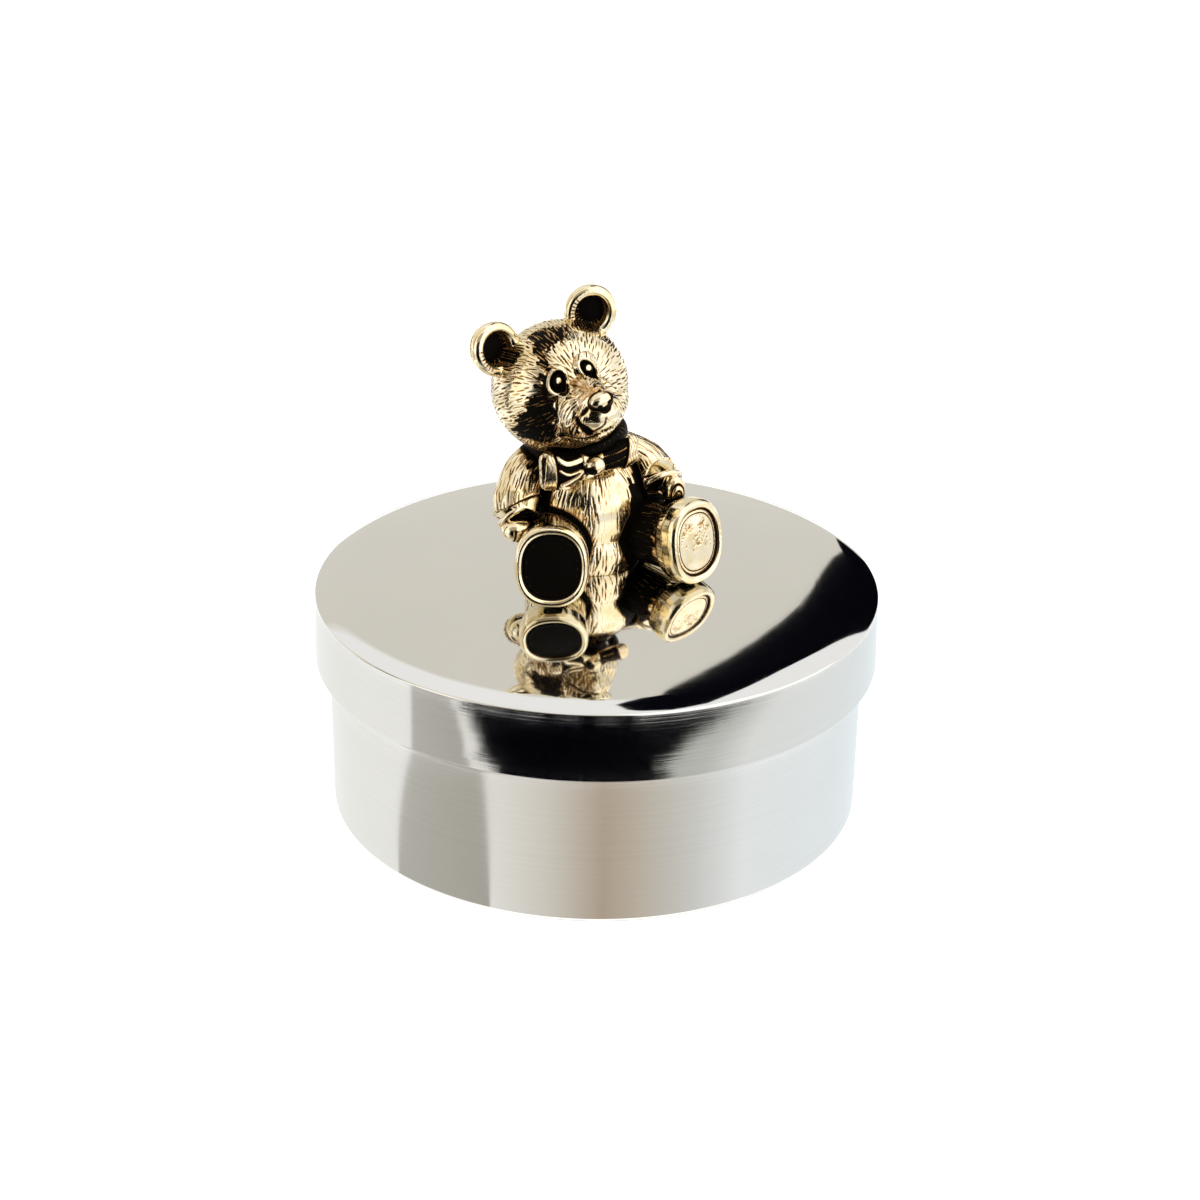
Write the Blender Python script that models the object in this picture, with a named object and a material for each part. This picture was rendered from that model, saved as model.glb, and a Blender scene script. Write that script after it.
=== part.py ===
"""Round pewter keepsake box: a base, a lift-off lid, and a cast teddy bear sitting on the lid.

Metres, +Z up. The origin is the middle of the underside. The bear looks along -Y, turned a little to +X.
"""

import math

import bmesh
import bpy
from mathutils import Matrix, Vector

# Sheet, solder joints and running gaps
SHEET = 0.0012
SOLDER_GAP = 0.0003
SEAT_GAP = 0.0003
LID_CLEARANCE = 0.0004
CUT_OVERRUN = 0.0010

# Base
BASE_RADIUS = 0.0344
FLOOR_EDGE_ROUND = 0.0005
LIP_ROUND = 0.00025
LINING_THICKNESS = 0.0010
LINING_GAP = 0.0003
LINING_EDGE_ROUND = 0.0003

# Lid
RIM_HEIGHT = 0.0292
SKIRT_DEPTH = 0.0090
SKIRT_FLARE = 0.0002
RIM_ROUND = 0.00025
DOME_RADIUS = 0.170
SHOULDER_WIDTH = 0.0027
SHOULDER_RADIUS = 0.0104

# Fixing of the bear, from inside the lid
SCREW_RADIUS = 0.0015
SCREW_GAP = 0.0003
SCREW_REACH = 0.0050
SCREW_HEAD_RADIUS = 0.0028
SCREW_HEAD_HEIGHT = 0.0016
SCREW_HEAD_ROUND = 0.0005
DRIVE_RADIUS = 0.0011
DRIVE_DEPTH = 0.0009
WASHER_RADIUS = 0.0036
WASHER_THICKNESS = 0.0005

# Bear: where it sits and which way it looks
BEAR_SIDE_SHIFT = -0.0014
BEAR_BACK_SHIFT = -0.0005
BEAR_TURN = math.radians(23)

# Bear: body
BELLY_WIDTH = 0.0150
BELLY_DEPTH = 0.0146
BELLY_HEIGHT = 0.0166
BELLY_MIDDLE = 0.0074
CHEST_WIDTH = 0.0118
CHEST_DEPTH = 0.0104
CHEST_HEIGHT = 0.0110
CHEST_MIDDLE = 0.0126
SEAT_WIDTH = 0.0146
SEAT_DEPTH = 0.0146
SEAT_HEIGHT = 0.0110
SEAT_MIDDLE = 0.0022
NECK_WIDTH = 0.0088
CHEST_LEAN_SHARE = 0.25
NECK_LEAN_SHARE = 0.5

# Bear: head; the tables give places as shares of half its width, depth and height
HEAD_WIDTH = 0.0172
HEAD_DEPTH = 0.0160
HEAD_HEIGHT = 0.0162
HEAD_MIDDLE = 0.0236
HEAD_SIDE_SHIFT = -0.0040
HEAD_FORWARD = 0.0004
HEAD_LEAN = math.radians(-15.5)
HEAD_TURN = math.radians(2.5)
HEAD_NOD = math.radians(-6)
JAW_WIDTH = 0.0152
JAW_DEPTH = 0.0136
JAW_HEIGHT = 0.0104
JAW_PLACE_SHARES = (0.0, -0.15, -0.32)
BRIDGE_WIDTH = 0.0050
BRIDGE_PLACE_SHARES = [(0.01, -0.80, 0.07), (0.03, -1.12, 0.09), (0.05, -1.37, 0.04)]
BRIDGE_WIDTH_SHARES = (1.0, 0.90, 0.64)
MUZZLE_WIDTH = 0.0090
MUZZLE_PLACE_SHARES = [(0.01, -0.75, -0.16), (0.03, -1.10, -0.15), (0.05, -1.25, -0.12)]
MUZZLE_WIDTH_SHARES = (1.0, 0.86, 0.60)
LIP_WIDTH = 0.0032
LIP_DEPTH = 0.0034
LIP_HEIGHT = 0.0029
LIP_PLACE_SHARES = [(-0.12, -1.27, -0.12), (0.22, -1.27, -0.12)]
CHIN_WIDTH = 0.0030
CHIN_HEIGHT = 0.0023
CHIN_PLACE_SHARES = (0.01, -1.26, -0.27)
NOSE_WIDTH = 0.0024
NOSE_DEPTH = 0.0019
NOSE_HEIGHT = 0.0025
NOSE_PLACE_SHARES = (0.03, -1.50, 0.10)
EYE_WIDTH = 0.0024
EYE_HEIGHT = 0.0032
EYE_RIM = 0.0006
EYE_TILT = math.radians(12)
EYE_PLACE_SHARES = [(-0.25, 0.40), (0.22, 0.41)]
PUPIL_SHARE = 0.5
EAR_WIDTH = 0.0066
EAR_HEIGHT = 0.0070
EAR_RIM = 0.0015
EAR_CUP = math.radians(12)
EAR_SPLAY = math.radians(22)
EAR_PLACE_SHARES = [(-0.74, -0.01, 0.94), (0.76, -0.01, 0.89)]
EAR_BACK_SHARE = 0.75

# Bear: arms; the tables give shares of half the chest's width, its depth and the height of its middle
ARM_WIDTH = 0.0063
LEFT_ARM_SHARES = [(-0.88, 0.06, 1.19), (-1.46, 0.0, 0.98), (-1.73, -0.16, 0.80), (-1.77, -0.29, 0.72)]
RIGHT_ARM_SHARES = [(0.71, 0.06, 1.11), (1.19, -0.09, 0.96), (1.34, -0.27, 0.84), (1.41, -0.37, 0.83)]
ARM_WIDTH_SHARES = (0.74, 0.93, 1.0, 0.92)
CUFF_WIDTH = 0.0058
CUFF_THICKNESS = 0.0008
LEFT_CUFF_FACE = Vector((-0.15, -0.62, -0.77))
RIGHT_CUFF_FACE = Vector((0.10, -0.72, -0.68))
WRIST_WIDTH = 0.0022
PAW_LENGTH = 0.0041
PAW_DEPTH = 0.0034
PAW_BREADTH = 0.0030
LEFT_PAW_SHARES = (-1.92, -0.44, 0.57)
RIGHT_PAW_SHARES = (1.58, -0.55, 0.77)

# Bear: legs, and feet with a raised rim round a flat pad
LEG_WIDTH = 0.0084
HIP_PLACE_SHARES = (0.62, -0.14, 0.26)
FOOT_WIDTH = 0.0091
FOOT_HEIGHT = 0.0106
FOOT_THICKNESS = 0.0032
FOOT_SPREAD = 0.0092
FOOT_FORWARD = 0.0112
FOOT_TURN = math.radians(22)
FOOT_TILT = math.radians(9)
FOOT_FULLNESS = 2.35
# From the ankle to the middle of the pad: shares of the outline's size, and of the thickness forward
FOOT_LINE_SHARES = [
    (0.80, -1.0), (0.93, -0.69), (1.0, -0.28), (1.0, 0.06), (0.98, 0.23), (0.93, 0.36),
    (0.87, 0.38), (0.80, 0.30), (0.745, 0.22), (0.70, 0.22), (0.3, 0.26),
]

# Bear: bow tie and collar; the tables give places as shares of the bow's reach, depth and height
BOW_REACH = 0.0062
BOW_DEPTH = 0.0030
BOW_HEIGHT = 0.0053
BOW_FLATNESS = 0.6
BOW_PLACE_SHARES = (0.65, -1.50, 1.24)
LEFT_LOOP_SHARES = [(0, 0.10, 0), (-0.26, 0.16, -0.04), (-0.53, 0.27, -0.14), (-0.81, 0.45, -0.11)]
LEFT_LOOP_WIDTH_SHARES = (0.30, 0.68, 1.0, 0.94)
RIGHT_LOOP_SHARES = [(0, 0.10, 0), (0.27, 0.17, -0.04), (0.68, 0.36, -0.13), (0.97, 0.60, -0.21)]
RIGHT_LOOP_WIDTH_SHARES = (0.30, 0.55, 0.72, 0.68)
BOW_END_WIDTH = 0.0017
KNOT_WIDTH = 0.0026
KNOT_HEIGHT = 0.0027
KNOT_STAND = 0.0004
COLLAR_WIDTH = 0.0133
COLLAR_THICKNESS = 0.0017
COLLAR_LEAN = math.radians(-8)
COLLAR_PLACE_SHARES = (0.48, -0.05, 1.34)

# How fine the meshes are
TURN_STEPS = 72
SMALL_TURN_STEPS = 24
ROUND_STEPS = 3
DOME_STEPS = 5
BALL_FINENESS = 4
TUBE_STEPS = 16
TUBE_SIDES = 24
RING_STEPS = 48
RING_SIDES = 12
MELT_GRAIN = 0.00028
MELT_SMOOTH_STEPS = 2
MELT_SMOOTH_FACTOR = 0.5
MELT_KEEP_SHARE = 0.07
SHARP_ANGLE = math.radians(35)

# Worked out from the sizes above
LID_RADIUS = BASE_RADIUS + LID_CLEARANCE + SHEET
BASE_INNER_RADIUS = BASE_RADIUS - SHEET
LAND_HEIGHT = RIM_HEIGHT - SHEET
DOME_EDGE_RADIUS = LID_RADIUS - SHOULDER_WIDTH
SCREW_HOLE_RADIUS = SCREW_RADIUS + SCREW_GAP


def dome_drop(radius):
    """How far the lid's outer face lies below its crown at a radius."""
    inner = min(radius, DOME_EDGE_RADIUS)
    drop = DOME_RADIUS - math.sqrt(DOME_RADIUS**2 - inner**2)
    if radius > DOME_EDGE_RADIUS:
        start = math.asin(DOME_EDGE_RADIUS / DOME_RADIUS)
        slope = math.asin(math.sin(start) + (radius - DOME_EDGE_RADIUS) / SHOULDER_RADIUS)
        drop += SHOULDER_RADIUS * (math.cos(start) - math.cos(slope))
    return drop


CROWN_HEIGHT = RIM_HEIGHT + dome_drop(LID_RADIUS)


def lid_height(radius):
    """Height of the lid's outer face at a radius."""
    return CROWN_HEIGHT - dome_drop(radius)


def clear_scene():
    """Removes whatever the file holds, so that the script can be run again."""
    for item in list(bpy.data.objects):
        bpy.data.objects.remove(item, do_unlink=True)


def metal(name, colour, roughness, metallic=1.0):
    """A plain material with one colour."""
    material = bpy.data.materials.new(name)
    material.use_nodes = True
    shader = material.node_tree.nodes["Principled BSDF"]
    shader.inputs["Base Color"].default_value = (*colour, 1.0)
    shader.inputs["Roughness"].default_value = roughness
    shader.inputs["Metallic"].default_value = metallic
    return material


def add_object(name, mesh, material=None, parent=None):
    """Puts a bmesh into the scene under a name, shaded smooth except at sharp edges."""
    data = bpy.data.meshes.new(name)
    mesh.to_mesh(data)
    mesh.free()
    data.shade_smooth()
    data.set_sharp_from_angle(angle=SHARP_ANGLE)
    item = bpy.data.objects.new(name, data)
    bpy.context.scene.collection.objects.link(item)
    item.parent = parent
    if material:
        data.materials.append(material)
    return item


def rounded(outline):
    """Turns corners given as (radius, height, rounding) into points, with an arc at each rounded one."""
    points = []
    for index, (across, up, rounding) in enumerate(outline):
        corner = Vector((across, up))
        if not rounding:
            points.append(corner)
            continue
        before = (Vector(outline[index - 1][:2]) - corner).normalized()
        after = (Vector(outline[(index + 1) % len(outline)][:2]) - corner).normalized()
        half_angle = before.angle(after) / 2
        reach = rounding / math.tan(half_angle)
        middle = corner + (before + after).normalized() * rounding / math.sin(half_angle)
        start = corner + before * reach - middle
        sweep = before.angle_signed(after)
        sweep = (math.pi - abs(sweep)) * math.copysign(1, sweep)
        for step in range(ROUND_STEPS + 1):
            turn = Matrix.Rotation(sweep * step / ROUND_STEPS, 2)
            points.append(middle + turn @ start)
    return points


def turned(points, steps=TURN_STEPS):
    """Revolves a closed outline, counted from the axis outwards, about the Z axis."""
    mesh = bmesh.new()
    corners = [mesh.verts.new((across, 0, up)) for across, up in points]
    edges = [mesh.edges.new(pair) for pair in zip(corners, corners[1:])]
    if min(across for across, _ in points) > 0:
        edges.append(mesh.edges.new((corners[-1], corners[0])))
    full = {"angle": math.tau, "steps": steps, "use_merge": True}
    bmesh.ops.spin(mesh, geom=corners + edges, axis=(0, 0, 1), cent=(0, 0, 0), **full)
    bmesh.ops.remove_doubles(mesh, verts=mesh.verts, dist=SOLDER_GAP / steps)
    bmesh.ops.recalc_face_normals(mesh, faces=mesh.faces)
    return mesh


def as_cutter(item):
    """Marks a cutter, which the finished part doesn't show."""
    item.hide_render = True
    item.display_type = "WIRE"
    return item


def cut(item, cutter, name):
    """Takes the cutter's volume away from an object."""
    modifier = item.modifiers.new(name, "BOOLEAN")
    modifier.operation = "DIFFERENCE"
    modifier.solver = "EXACT"
    modifier.object = cutter


def make_base(pewter, felt):
    """The base: a rolled wall standing on a flat floor, with a felt lining on the floor."""
    floor = [(0, 0, 0), (BASE_RADIUS, 0, FLOOR_EDGE_ROUND), (BASE_RADIUS, SHEET, 0), (0, SHEET, 0)]
    add_object("base_floor", turned(rounded(floor)), pewter)
    foot = SHEET + SOLDER_GAP
    lip = LAND_HEIGHT - SEAT_GAP
    wall = [
        (BASE_INNER_RADIUS, foot, 0),
        (BASE_RADIUS, foot, 0),
        (BASE_RADIUS, lip, LIP_ROUND),
        (BASE_INNER_RADIUS, lip, LIP_ROUND),
    ]
    add_object("base_wall", turned(rounded(wall)), pewter)
    lining_radius = BASE_INNER_RADIUS - LINING_GAP
    lining_top = foot + LINING_THICKNESS
    lining = [
        (0, foot, 0),
        (lining_radius, foot, 0),
        (lining_radius, lining_top, LINING_EDGE_ROUND),
        (0, lining_top, 0),
    ]
    add_object("base_lining", turned(rounded(lining)), felt)


def make_lid(pewter, lid):
    """The lid: a domed top soldered on a rolled skirt that slides over the base wall."""
    inner = BASE_RADIUS + LID_CLEARANCE
    top = LAND_HEIGHT - SOLDER_GAP
    bottom = RIM_HEIGHT - SKIRT_DEPTH
    skirt = [
        (inner, top, 0),
        (inner + SKIRT_FLARE, bottom, LIP_ROUND),
        (LID_RADIUS + SKIRT_FLARE, bottom, LIP_ROUND),
        (LID_RADIUS, top, 0),
    ]
    add_object("lid_skirt", turned(rounded(skirt)), pewter, lid)

    reach = DOME_EDGE_RADIUS - SCREW_HOLE_RADIUS
    across = [SCREW_HOLE_RADIUS + reach * step / DOME_STEPS for step in range(DOME_STEPS + 1)]
    shoulder = [DOME_EDGE_RADIUS + SHOULDER_WIDTH * step / ROUND_STEPS for step in range(1, ROUND_STEPS)]
    outer = [(radius, lid_height(radius), 0) for radius in across + shoulder]
    under = [(radius, lid_height(radius) - SHEET, 0) for radius in across if radius < BASE_INNER_RADIUS]
    land_edge = lid_height(BASE_INNER_RADIUS) - SHEET
    edge = [
        (LID_RADIUS, RIM_HEIGHT, RIM_ROUND),
        (LID_RADIUS, LAND_HEIGHT, 0),
        (BASE_INNER_RADIUS, LAND_HEIGHT, 0),
        (BASE_INNER_RADIUS, land_edge, 0),
    ]
    add_object("lid_top", turned(rounded(outer + edge + under[::-1])), pewter, lid)


def make_fixing(steel, lid):
    """The screw and washer that hold the bear from inside the lid."""
    under = lid_height(SCREW_HOLE_RADIUS) - SHEET
    washer_top = lid_height(WASHER_RADIUS) - SHEET - SEAT_GAP
    washer_bottom = washer_top - WASHER_THICKNESS
    washer = [
        (SCREW_HOLE_RADIUS, washer_bottom, 0),
        (WASHER_RADIUS, washer_bottom, 0),
        (WASHER_RADIUS, washer_top, 0),
        (SCREW_HOLE_RADIUS, washer_top, 0),
    ]
    add_object("bear_washer", turned(rounded(washer), SMALL_TURN_STEPS), steel, lid)

    head_top = washer_bottom - SEAT_GAP
    head_bottom = head_top - SCREW_HEAD_HEIGHT
    tip = under + SHEET + SCREW_REACH
    drive_top = head_bottom + DRIVE_DEPTH
    screw = [
        (0, drive_top, 0),
        (DRIVE_RADIUS, drive_top, 0),
        (DRIVE_RADIUS, head_bottom, 0),
        (SCREW_HEAD_RADIUS, head_bottom, SCREW_HEAD_ROUND),
        (SCREW_HEAD_RADIUS, head_top, 0),
        (SCREW_RADIUS, head_top, 0),
        (SCREW_RADIUS, tip, 0),
        (0, tip, 0),
    ]
    add_object("bear_screw", turned(rounded(screw), SMALL_TURN_STEPS), steel, lid)


def blob(mesh, middle, sizes, turn=None):
    """Adds a ball stretched to the given width, depth and height, turned about its middle."""
    halves = [size / 2 for size in sizes]
    place = Matrix.Translation(middle) @ (turn or Matrix()) @ Matrix.Diagonal((*halves, 1))
    bmesh.ops.create_icosphere(mesh, subdivisions=BALL_FINENESS, radius=1, matrix=place)


def skin_loops(mesh, loops, closed=False):
    """Joins loops of points, each to the next and if closed the last to the first, with a skin of faces."""
    loops = [[mesh.verts.new(point) for point in loop] for loop in loops]
    following = loops[1:] + loops[:1] if closed else loops[1:]
    for lower, upper in zip(loops, following):
        for step in range(len(lower)):
            after = (step + 1) % len(lower)
            mesh.faces.new((lower[step], lower[after], upper[after], upper[step]))
    return loops


def loft(mesh, loops):
    """A solid through a row of loops, with its two ends closed."""
    loops = skin_loops(mesh, loops)
    mesh.faces.new(loops[0][::-1])
    mesh.faces.new(loops[-1])


def smooth_point(points, share):
    """A point on the smooth curve through a list of vectors, with share from 0 to 1."""
    spans = len(points) - 1
    span = min(int(share * spans), spans - 1)
    t = share * spans - span
    a, b = points[max(span - 1, 0)], points[span]
    c, d = points[span + 1], points[min(span + 2, spans)]
    return 0.5 * (2 * b + (c - a) * t + (2 * a - 5 * b + 4 * c - d) * t**2 + (3 * b - a - 3 * c + d) * t**3)


def value_between(values, share):
    """A value on the straight lines between a list of values, with share from 0 to 1."""
    spans = len(values) - 1
    span = min(int(share * spans), spans - 1)
    return values[span] + (values[span + 1] - values[span]) * (share * spans - span)


def limb(mesh, points, widths, flatness=1.0, round_end=True):
    """Lofts a tube of changing width along a smooth path; its start, and its end if asked, is a ball."""
    shares = [step / TUBE_STEPS for step in range(TUBE_STEPS + 1)]
    path = [smooth_point(points, share) for share in shares]
    sizes = [value_between(widths, share) for share in shares]
    loops = []
    for step, (point, size) in enumerate(zip(path, sizes)):
        ahead = (path[min(step + 1, TUBE_STEPS)] - path[max(step - 1, 0)]).normalized()
        turn = ahead.to_track_quat("X", "Z").to_matrix()
        loop = []
        for side in range(TUBE_SIDES):
            angle = math.tau * side / TUBE_SIDES
            loop.append(point + turn @ Vector((0, math.cos(angle) * flatness, math.sin(angle))) * size / 2)
        loops.append(loop)
    loft(mesh, loops)
    ends = [(path[0], sizes[0])]
    if round_end:
        ends.append((path[-1], sizes[-1]))
    for point, size in ends:
        blob(mesh, point, (size * flatness, size * flatness, size))


def hoop(mesh, middle, width, height, thickness, turn):
    """Sweeps a round bar along an oval in the X-Z plane, turned about its middle; sizes are over all."""
    wide, tall = (width - thickness) / 2, (height - thickness) / 2
    loops = []
    for step in range(RING_STEPS):
        angle = math.tau * step / RING_STEPS
        centre = Vector((math.cos(angle) * wide, 0, math.sin(angle) * tall))
        out = Vector((math.cos(angle) * tall, 0, math.sin(angle) * wide)).normalized()
        loop = []
        for side in range(RING_SIDES):
            around = math.tau * side / RING_SIDES
            bar = out * math.cos(around) + Vector((0, math.sin(around), 0))
            loop.append(Vector(middle) + turn @ (centre + bar * thickness / 2))
        loops.append(loop)
    skin_loops(mesh, loops, closed=True)


def turn_about(axis, angle):
    """A turn about an axis, as a 4 by 4 matrix."""
    return Matrix.Rotation(angle, 4, axis)


def scaled(shares, sizes):
    """A place given as shares of three sizes."""
    return Vector([share * size for share, size in zip(shares, sizes)])


def merge(mesh, piece, place):
    """Moves one bmesh to its place and adds it to another."""
    piece.transform(place)
    carried = bpy.data.meshes.new("carried")
    piece.to_mesh(carried)
    piece.free()
    mesh.from_mesh(carried)
    bpy.data.meshes.remove(carried)


def add_body(mesh):
    """Belly, chest and neck."""
    blob(mesh, (0, 0, BELLY_MIDDLE), (BELLY_WIDTH, BELLY_DEPTH, BELLY_HEIGHT))
    chest = Vector((HEAD_SIDE_SHIFT * CHEST_LEAN_SHARE, 0, CHEST_MIDDLE))
    blob(mesh, chest, (CHEST_WIDTH, CHEST_DEPTH, CHEST_HEIGHT))
    blob(mesh, (0, 0, SEAT_MIDDLE), (SEAT_WIDTH, SEAT_DEPTH, SEAT_HEIGHT))
    neck = Vector((HEAD_SIDE_SHIFT * NECK_LEAN_SHARE, 0, (CHEST_MIDDLE + HEAD_MIDDLE) / 2))
    blob(mesh, neck, (NECK_WIDTH, NECK_WIDTH, HEAD_MIDDLE - CHEST_MIDDLE))


def head_frame():
    """Where the head is and how it leans, turns and nods, in the bear's own frame."""
    middle = Matrix.Translation((HEAD_SIDE_SHIFT, -HEAD_FORWARD, HEAD_MIDDLE))
    return middle @ turn_about("Z", HEAD_TURN) @ turn_about("Y", HEAD_LEAN) @ turn_about("X", HEAD_NOD)


def add_snout(head, halves):
    """The bridge, the muzzle with its two lips, the chin and the nose."""
    for shares, width, width_shares in (
        (BRIDGE_PLACE_SHARES, BRIDGE_WIDTH, BRIDGE_WIDTH_SHARES),
        (MUZZLE_PLACE_SHARES, MUZZLE_WIDTH, MUZZLE_WIDTH_SHARES),
    ):
        points = [scaled(share, halves) for share in shares]
        limb(head, points, [width * share for share in width_shares])
    for share in LIP_PLACE_SHARES:
        blob(head, scaled(share, halves), (LIP_WIDTH, LIP_DEPTH, LIP_HEIGHT))
    blob(head, scaled(CHIN_PLACE_SHARES, halves), (CHIN_WIDTH, CHIN_WIDTH, CHIN_HEIGHT))
    blob(head, scaled(NOSE_PLACE_SHARES, halves), (NOSE_WIDTH, NOSE_DEPTH, NOSE_HEIGHT))


def add_eye(head, halves, side, shares):
    """An eye: a bead inside an oval rim, set on the front of the head."""
    forward_share = math.sqrt(1 - shares[0] ** 2 - shares[1] ** 2)
    eye = scaled((shares[0], -forward_share, shares[1]), halves)
    turn = turn_about("Z", math.asin(shares[0])) @ turn_about("X", -math.asin(shares[1]))
    turn = turn @ turn_about("Y", -side * EYE_TILT)
    hoop(head, eye, EYE_WIDTH, EYE_HEIGHT, EYE_RIM, turn)
    blob(head, eye, (EYE_WIDTH * PUPIL_SHARE, EYE_RIM * 2, EYE_HEIGHT * PUPIL_SHARE), turn)


def add_ear(head, halves, side, shares):
    """An ear: a round rim with a thin cupped back."""
    ear = scaled(shares, halves)
    turn = turn_about("Z", -side * EAR_CUP) @ turn_about("Y", side * EAR_SPLAY)
    hoop(head, ear, EAR_WIDTH, EAR_HEIGHT, EAR_RIM, turn)
    back = ear + turn @ Vector((0, EAR_RIM * EAR_BACK_SHARE, 0))
    blob(head, back, (EAR_WIDTH - EAR_RIM / 2, EAR_RIM * EAR_BACK_SHARE, EAR_HEIGHT - EAR_RIM / 2), turn)


def add_head(mesh):
    """The head, made upright and then leant over."""
    halves = (HEAD_WIDTH / 2, HEAD_DEPTH / 2, HEAD_HEIGHT / 2)
    head = bmesh.new()
    blob(head, (0, 0, 0), (HEAD_WIDTH, HEAD_DEPTH, HEAD_HEIGHT))
    blob(head, scaled(JAW_PLACE_SHARES, halves), (JAW_WIDTH, JAW_DEPTH, JAW_HEIGHT))
    add_snout(head, halves)
    for side, eye, ear in zip((-1, 1), EYE_PLACE_SHARES, EAR_PLACE_SHARES):
        add_eye(head, halves, side, eye)
        add_ear(head, halves, side, ear)
    merge(mesh, head, head_frame())


def add_arm(mesh, arm_shares, cuff_face, paw_shares, paw_sizes):
    """An arm in a sleeve with a cuff, and the paw that comes out of it."""
    sizes = (CHEST_WIDTH / 2, CHEST_DEPTH, CHEST_MIDDLE)
    points = [scaled(share, sizes) for share in arm_shares]
    limb(mesh, points, [ARM_WIDTH * share for share in ARM_WIDTH_SHARES], round_end=False)
    turn = cuff_face.to_track_quat("-Y", "Z").to_matrix().to_4x4()
    hoop(mesh, points[-1], CUFF_WIDTH, CUFF_WIDTH, CUFF_THICKNESS, turn)
    paw = scaled(paw_shares, sizes)
    limb(mesh, [points[-1], paw], [WRIST_WIDTH, WRIST_WIDTH])
    blob(mesh, paw, paw_sizes)


def add_arms(mesh):
    """The left paw lies along the left leg, and the right one stands on the right leg."""
    lying = (PAW_LENGTH, PAW_DEPTH, PAW_BREADTH)
    standing = (PAW_BREADTH, PAW_DEPTH, PAW_LENGTH)
    add_arm(mesh, LEFT_ARM_SHARES, LEFT_CUFF_FACE, LEFT_PAW_SHARES, lying)
    add_arm(mesh, RIGHT_ARM_SHARES, RIGHT_CUFF_FACE, RIGHT_PAW_SHARES, standing)


def add_foot(mesh, foot, turn):
    """An upright foot: an oval with full corners, lofted from the ankle over its rim to its pad."""
    loops = []
    for size_share, forward_share in FOOT_LINE_SHARES:
        loop = []
        for step in range(RING_STEPS):
            angle = math.tau * step / RING_STEPS
            across, up = math.cos(angle), math.sin(angle)
            reach = abs(2 * across / FOOT_WIDTH) ** FOOT_FULLNESS + abs(2 * up / FOOT_HEIGHT) ** FOOT_FULLNESS
            reach = size_share * reach ** (-1 / FOOT_FULLNESS)
            place = Vector((across * reach, -forward_share * FOOT_THICKNESS, up * reach))
            loop.append(foot + turn @ place)
        loops.append(loop)
    loft(mesh, loops)


def add_legs(mesh):
    """Short legs pointing forward and out, each ending in an upright foot."""
    for side in (-1, 1):
        hip = scaled(HIP_PLACE_SHARES, (BELLY_WIDTH / 2 * side, BELLY_DEPTH / 2, BELLY_HEIGHT))
        foot = Vector((FOOT_SPREAD * side, -FOOT_FORWARD, FOOT_HEIGHT / 2 - dome_drop(FOOT_FORWARD)))
        turn = turn_about("Z", side * FOOT_TURN) @ turn_about("X", -FOOT_TILT)
        ankle = foot + turn @ Vector((0, FOOT_THICKNESS / 2, 0))
        ankle.z = hip.z
        limb(mesh, [hip, ankle], [LEG_WIDTH, LEG_WIDTH], round_end=False)
        add_foot(mesh, foot, turn)


def add_bow(mesh):
    """A bow tie with two full loops that end in a rolled edge, its knot, and the collar round the neck."""
    knot = scaled(BOW_PLACE_SHARES, (HEAD_SIDE_SHIFT, CHEST_DEPTH / 2, CHEST_MIDDLE))
    sizes = (BOW_REACH, BOW_DEPTH, BOW_HEIGHT)
    for loop_shares, width_shares in (
        (LEFT_LOOP_SHARES, LEFT_LOOP_WIDTH_SHARES),
        (RIGHT_LOOP_SHARES, RIGHT_LOOP_WIDTH_SHARES),
    ):
        points = [knot + scaled(share, sizes) for share in loop_shares]
        limb(mesh, points, [BOW_HEIGHT * share for share in width_shares], BOW_FLATNESS, round_end=False)
        edge = Vector((0, 0, (BOW_HEIGHT * width_shares[-1] - BOW_END_WIDTH) / 2))
        limb(mesh, [points[-1] - edge, points[-1] + edge], [BOW_END_WIDTH, BOW_END_WIDTH])
    blob(mesh, knot, (KNOT_WIDTH, BOW_DEPTH + KNOT_STAND, KNOT_HEIGHT))
    collar = scaled(COLLAR_PLACE_SHARES, (HEAD_SIDE_SHIFT, CHEST_DEPTH, CHEST_MIDDLE))
    lean = turn_about("Y", COLLAR_LEAN) @ turn_about("X", math.tau / 4)
    hoop(mesh, collar, COLLAR_WIDTH, COLLAR_WIDTH, COLLAR_THICKNESS, lean)


def melt(bear):
    """Fuses the overlapping forms into one skin, softens the creases between them and thins the mesh."""
    fuse = bear.modifiers.new("melt", "REMESH")
    fuse.mode = "VOXEL"
    fuse.voxel_size = MELT_GRAIN
    fuse.use_smooth_shade = True
    smooth = bear.modifiers.new("smooth", "SMOOTH")
    smooth.factor = MELT_SMOOTH_FACTOR
    smooth.iterations = MELT_SMOOTH_STEPS
    thin = bear.modifiers.new("thin", "DECIMATE")
    thin.ratio = MELT_KEEP_SHARE


def cut_seat(bear, lid):
    """Cuts the bear's underside to the dome that it sits on."""
    across = [LID_RADIUS * step / DOME_STEPS for step in range(DOME_STEPS + 1)]
    seat = [(radius, lid_height(radius) + SEAT_GAP, 0) for radius in across]
    deep = CROWN_HEIGHT - SEAT_HEIGHT
    seat += [(LID_RADIUS, deep, 0), (0, deep, 0)]
    cut(bear, as_cutter(add_object("seat_cutter", turned(rounded(seat)), None, lid)), "seat")


def cut_bore(bear, lid):
    """Bores the bear for its screw."""
    bore_top = lid_height(0) + SCREW_REACH + SCREW_GAP
    bore_bottom = lid_height(0) - CUT_OVERRUN
    bore = [
        (0, bore_bottom, 0),
        (SCREW_HOLE_RADIUS, bore_bottom, 0),
        (SCREW_HOLE_RADIUS, bore_top, 0),
        (0, bore_top, 0),
    ]
    drill = turned(rounded(bore), SMALL_TURN_STEPS)
    cut(bear, as_cutter(add_object("bore_cutter", drill, None, lid)), "bore")


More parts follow.
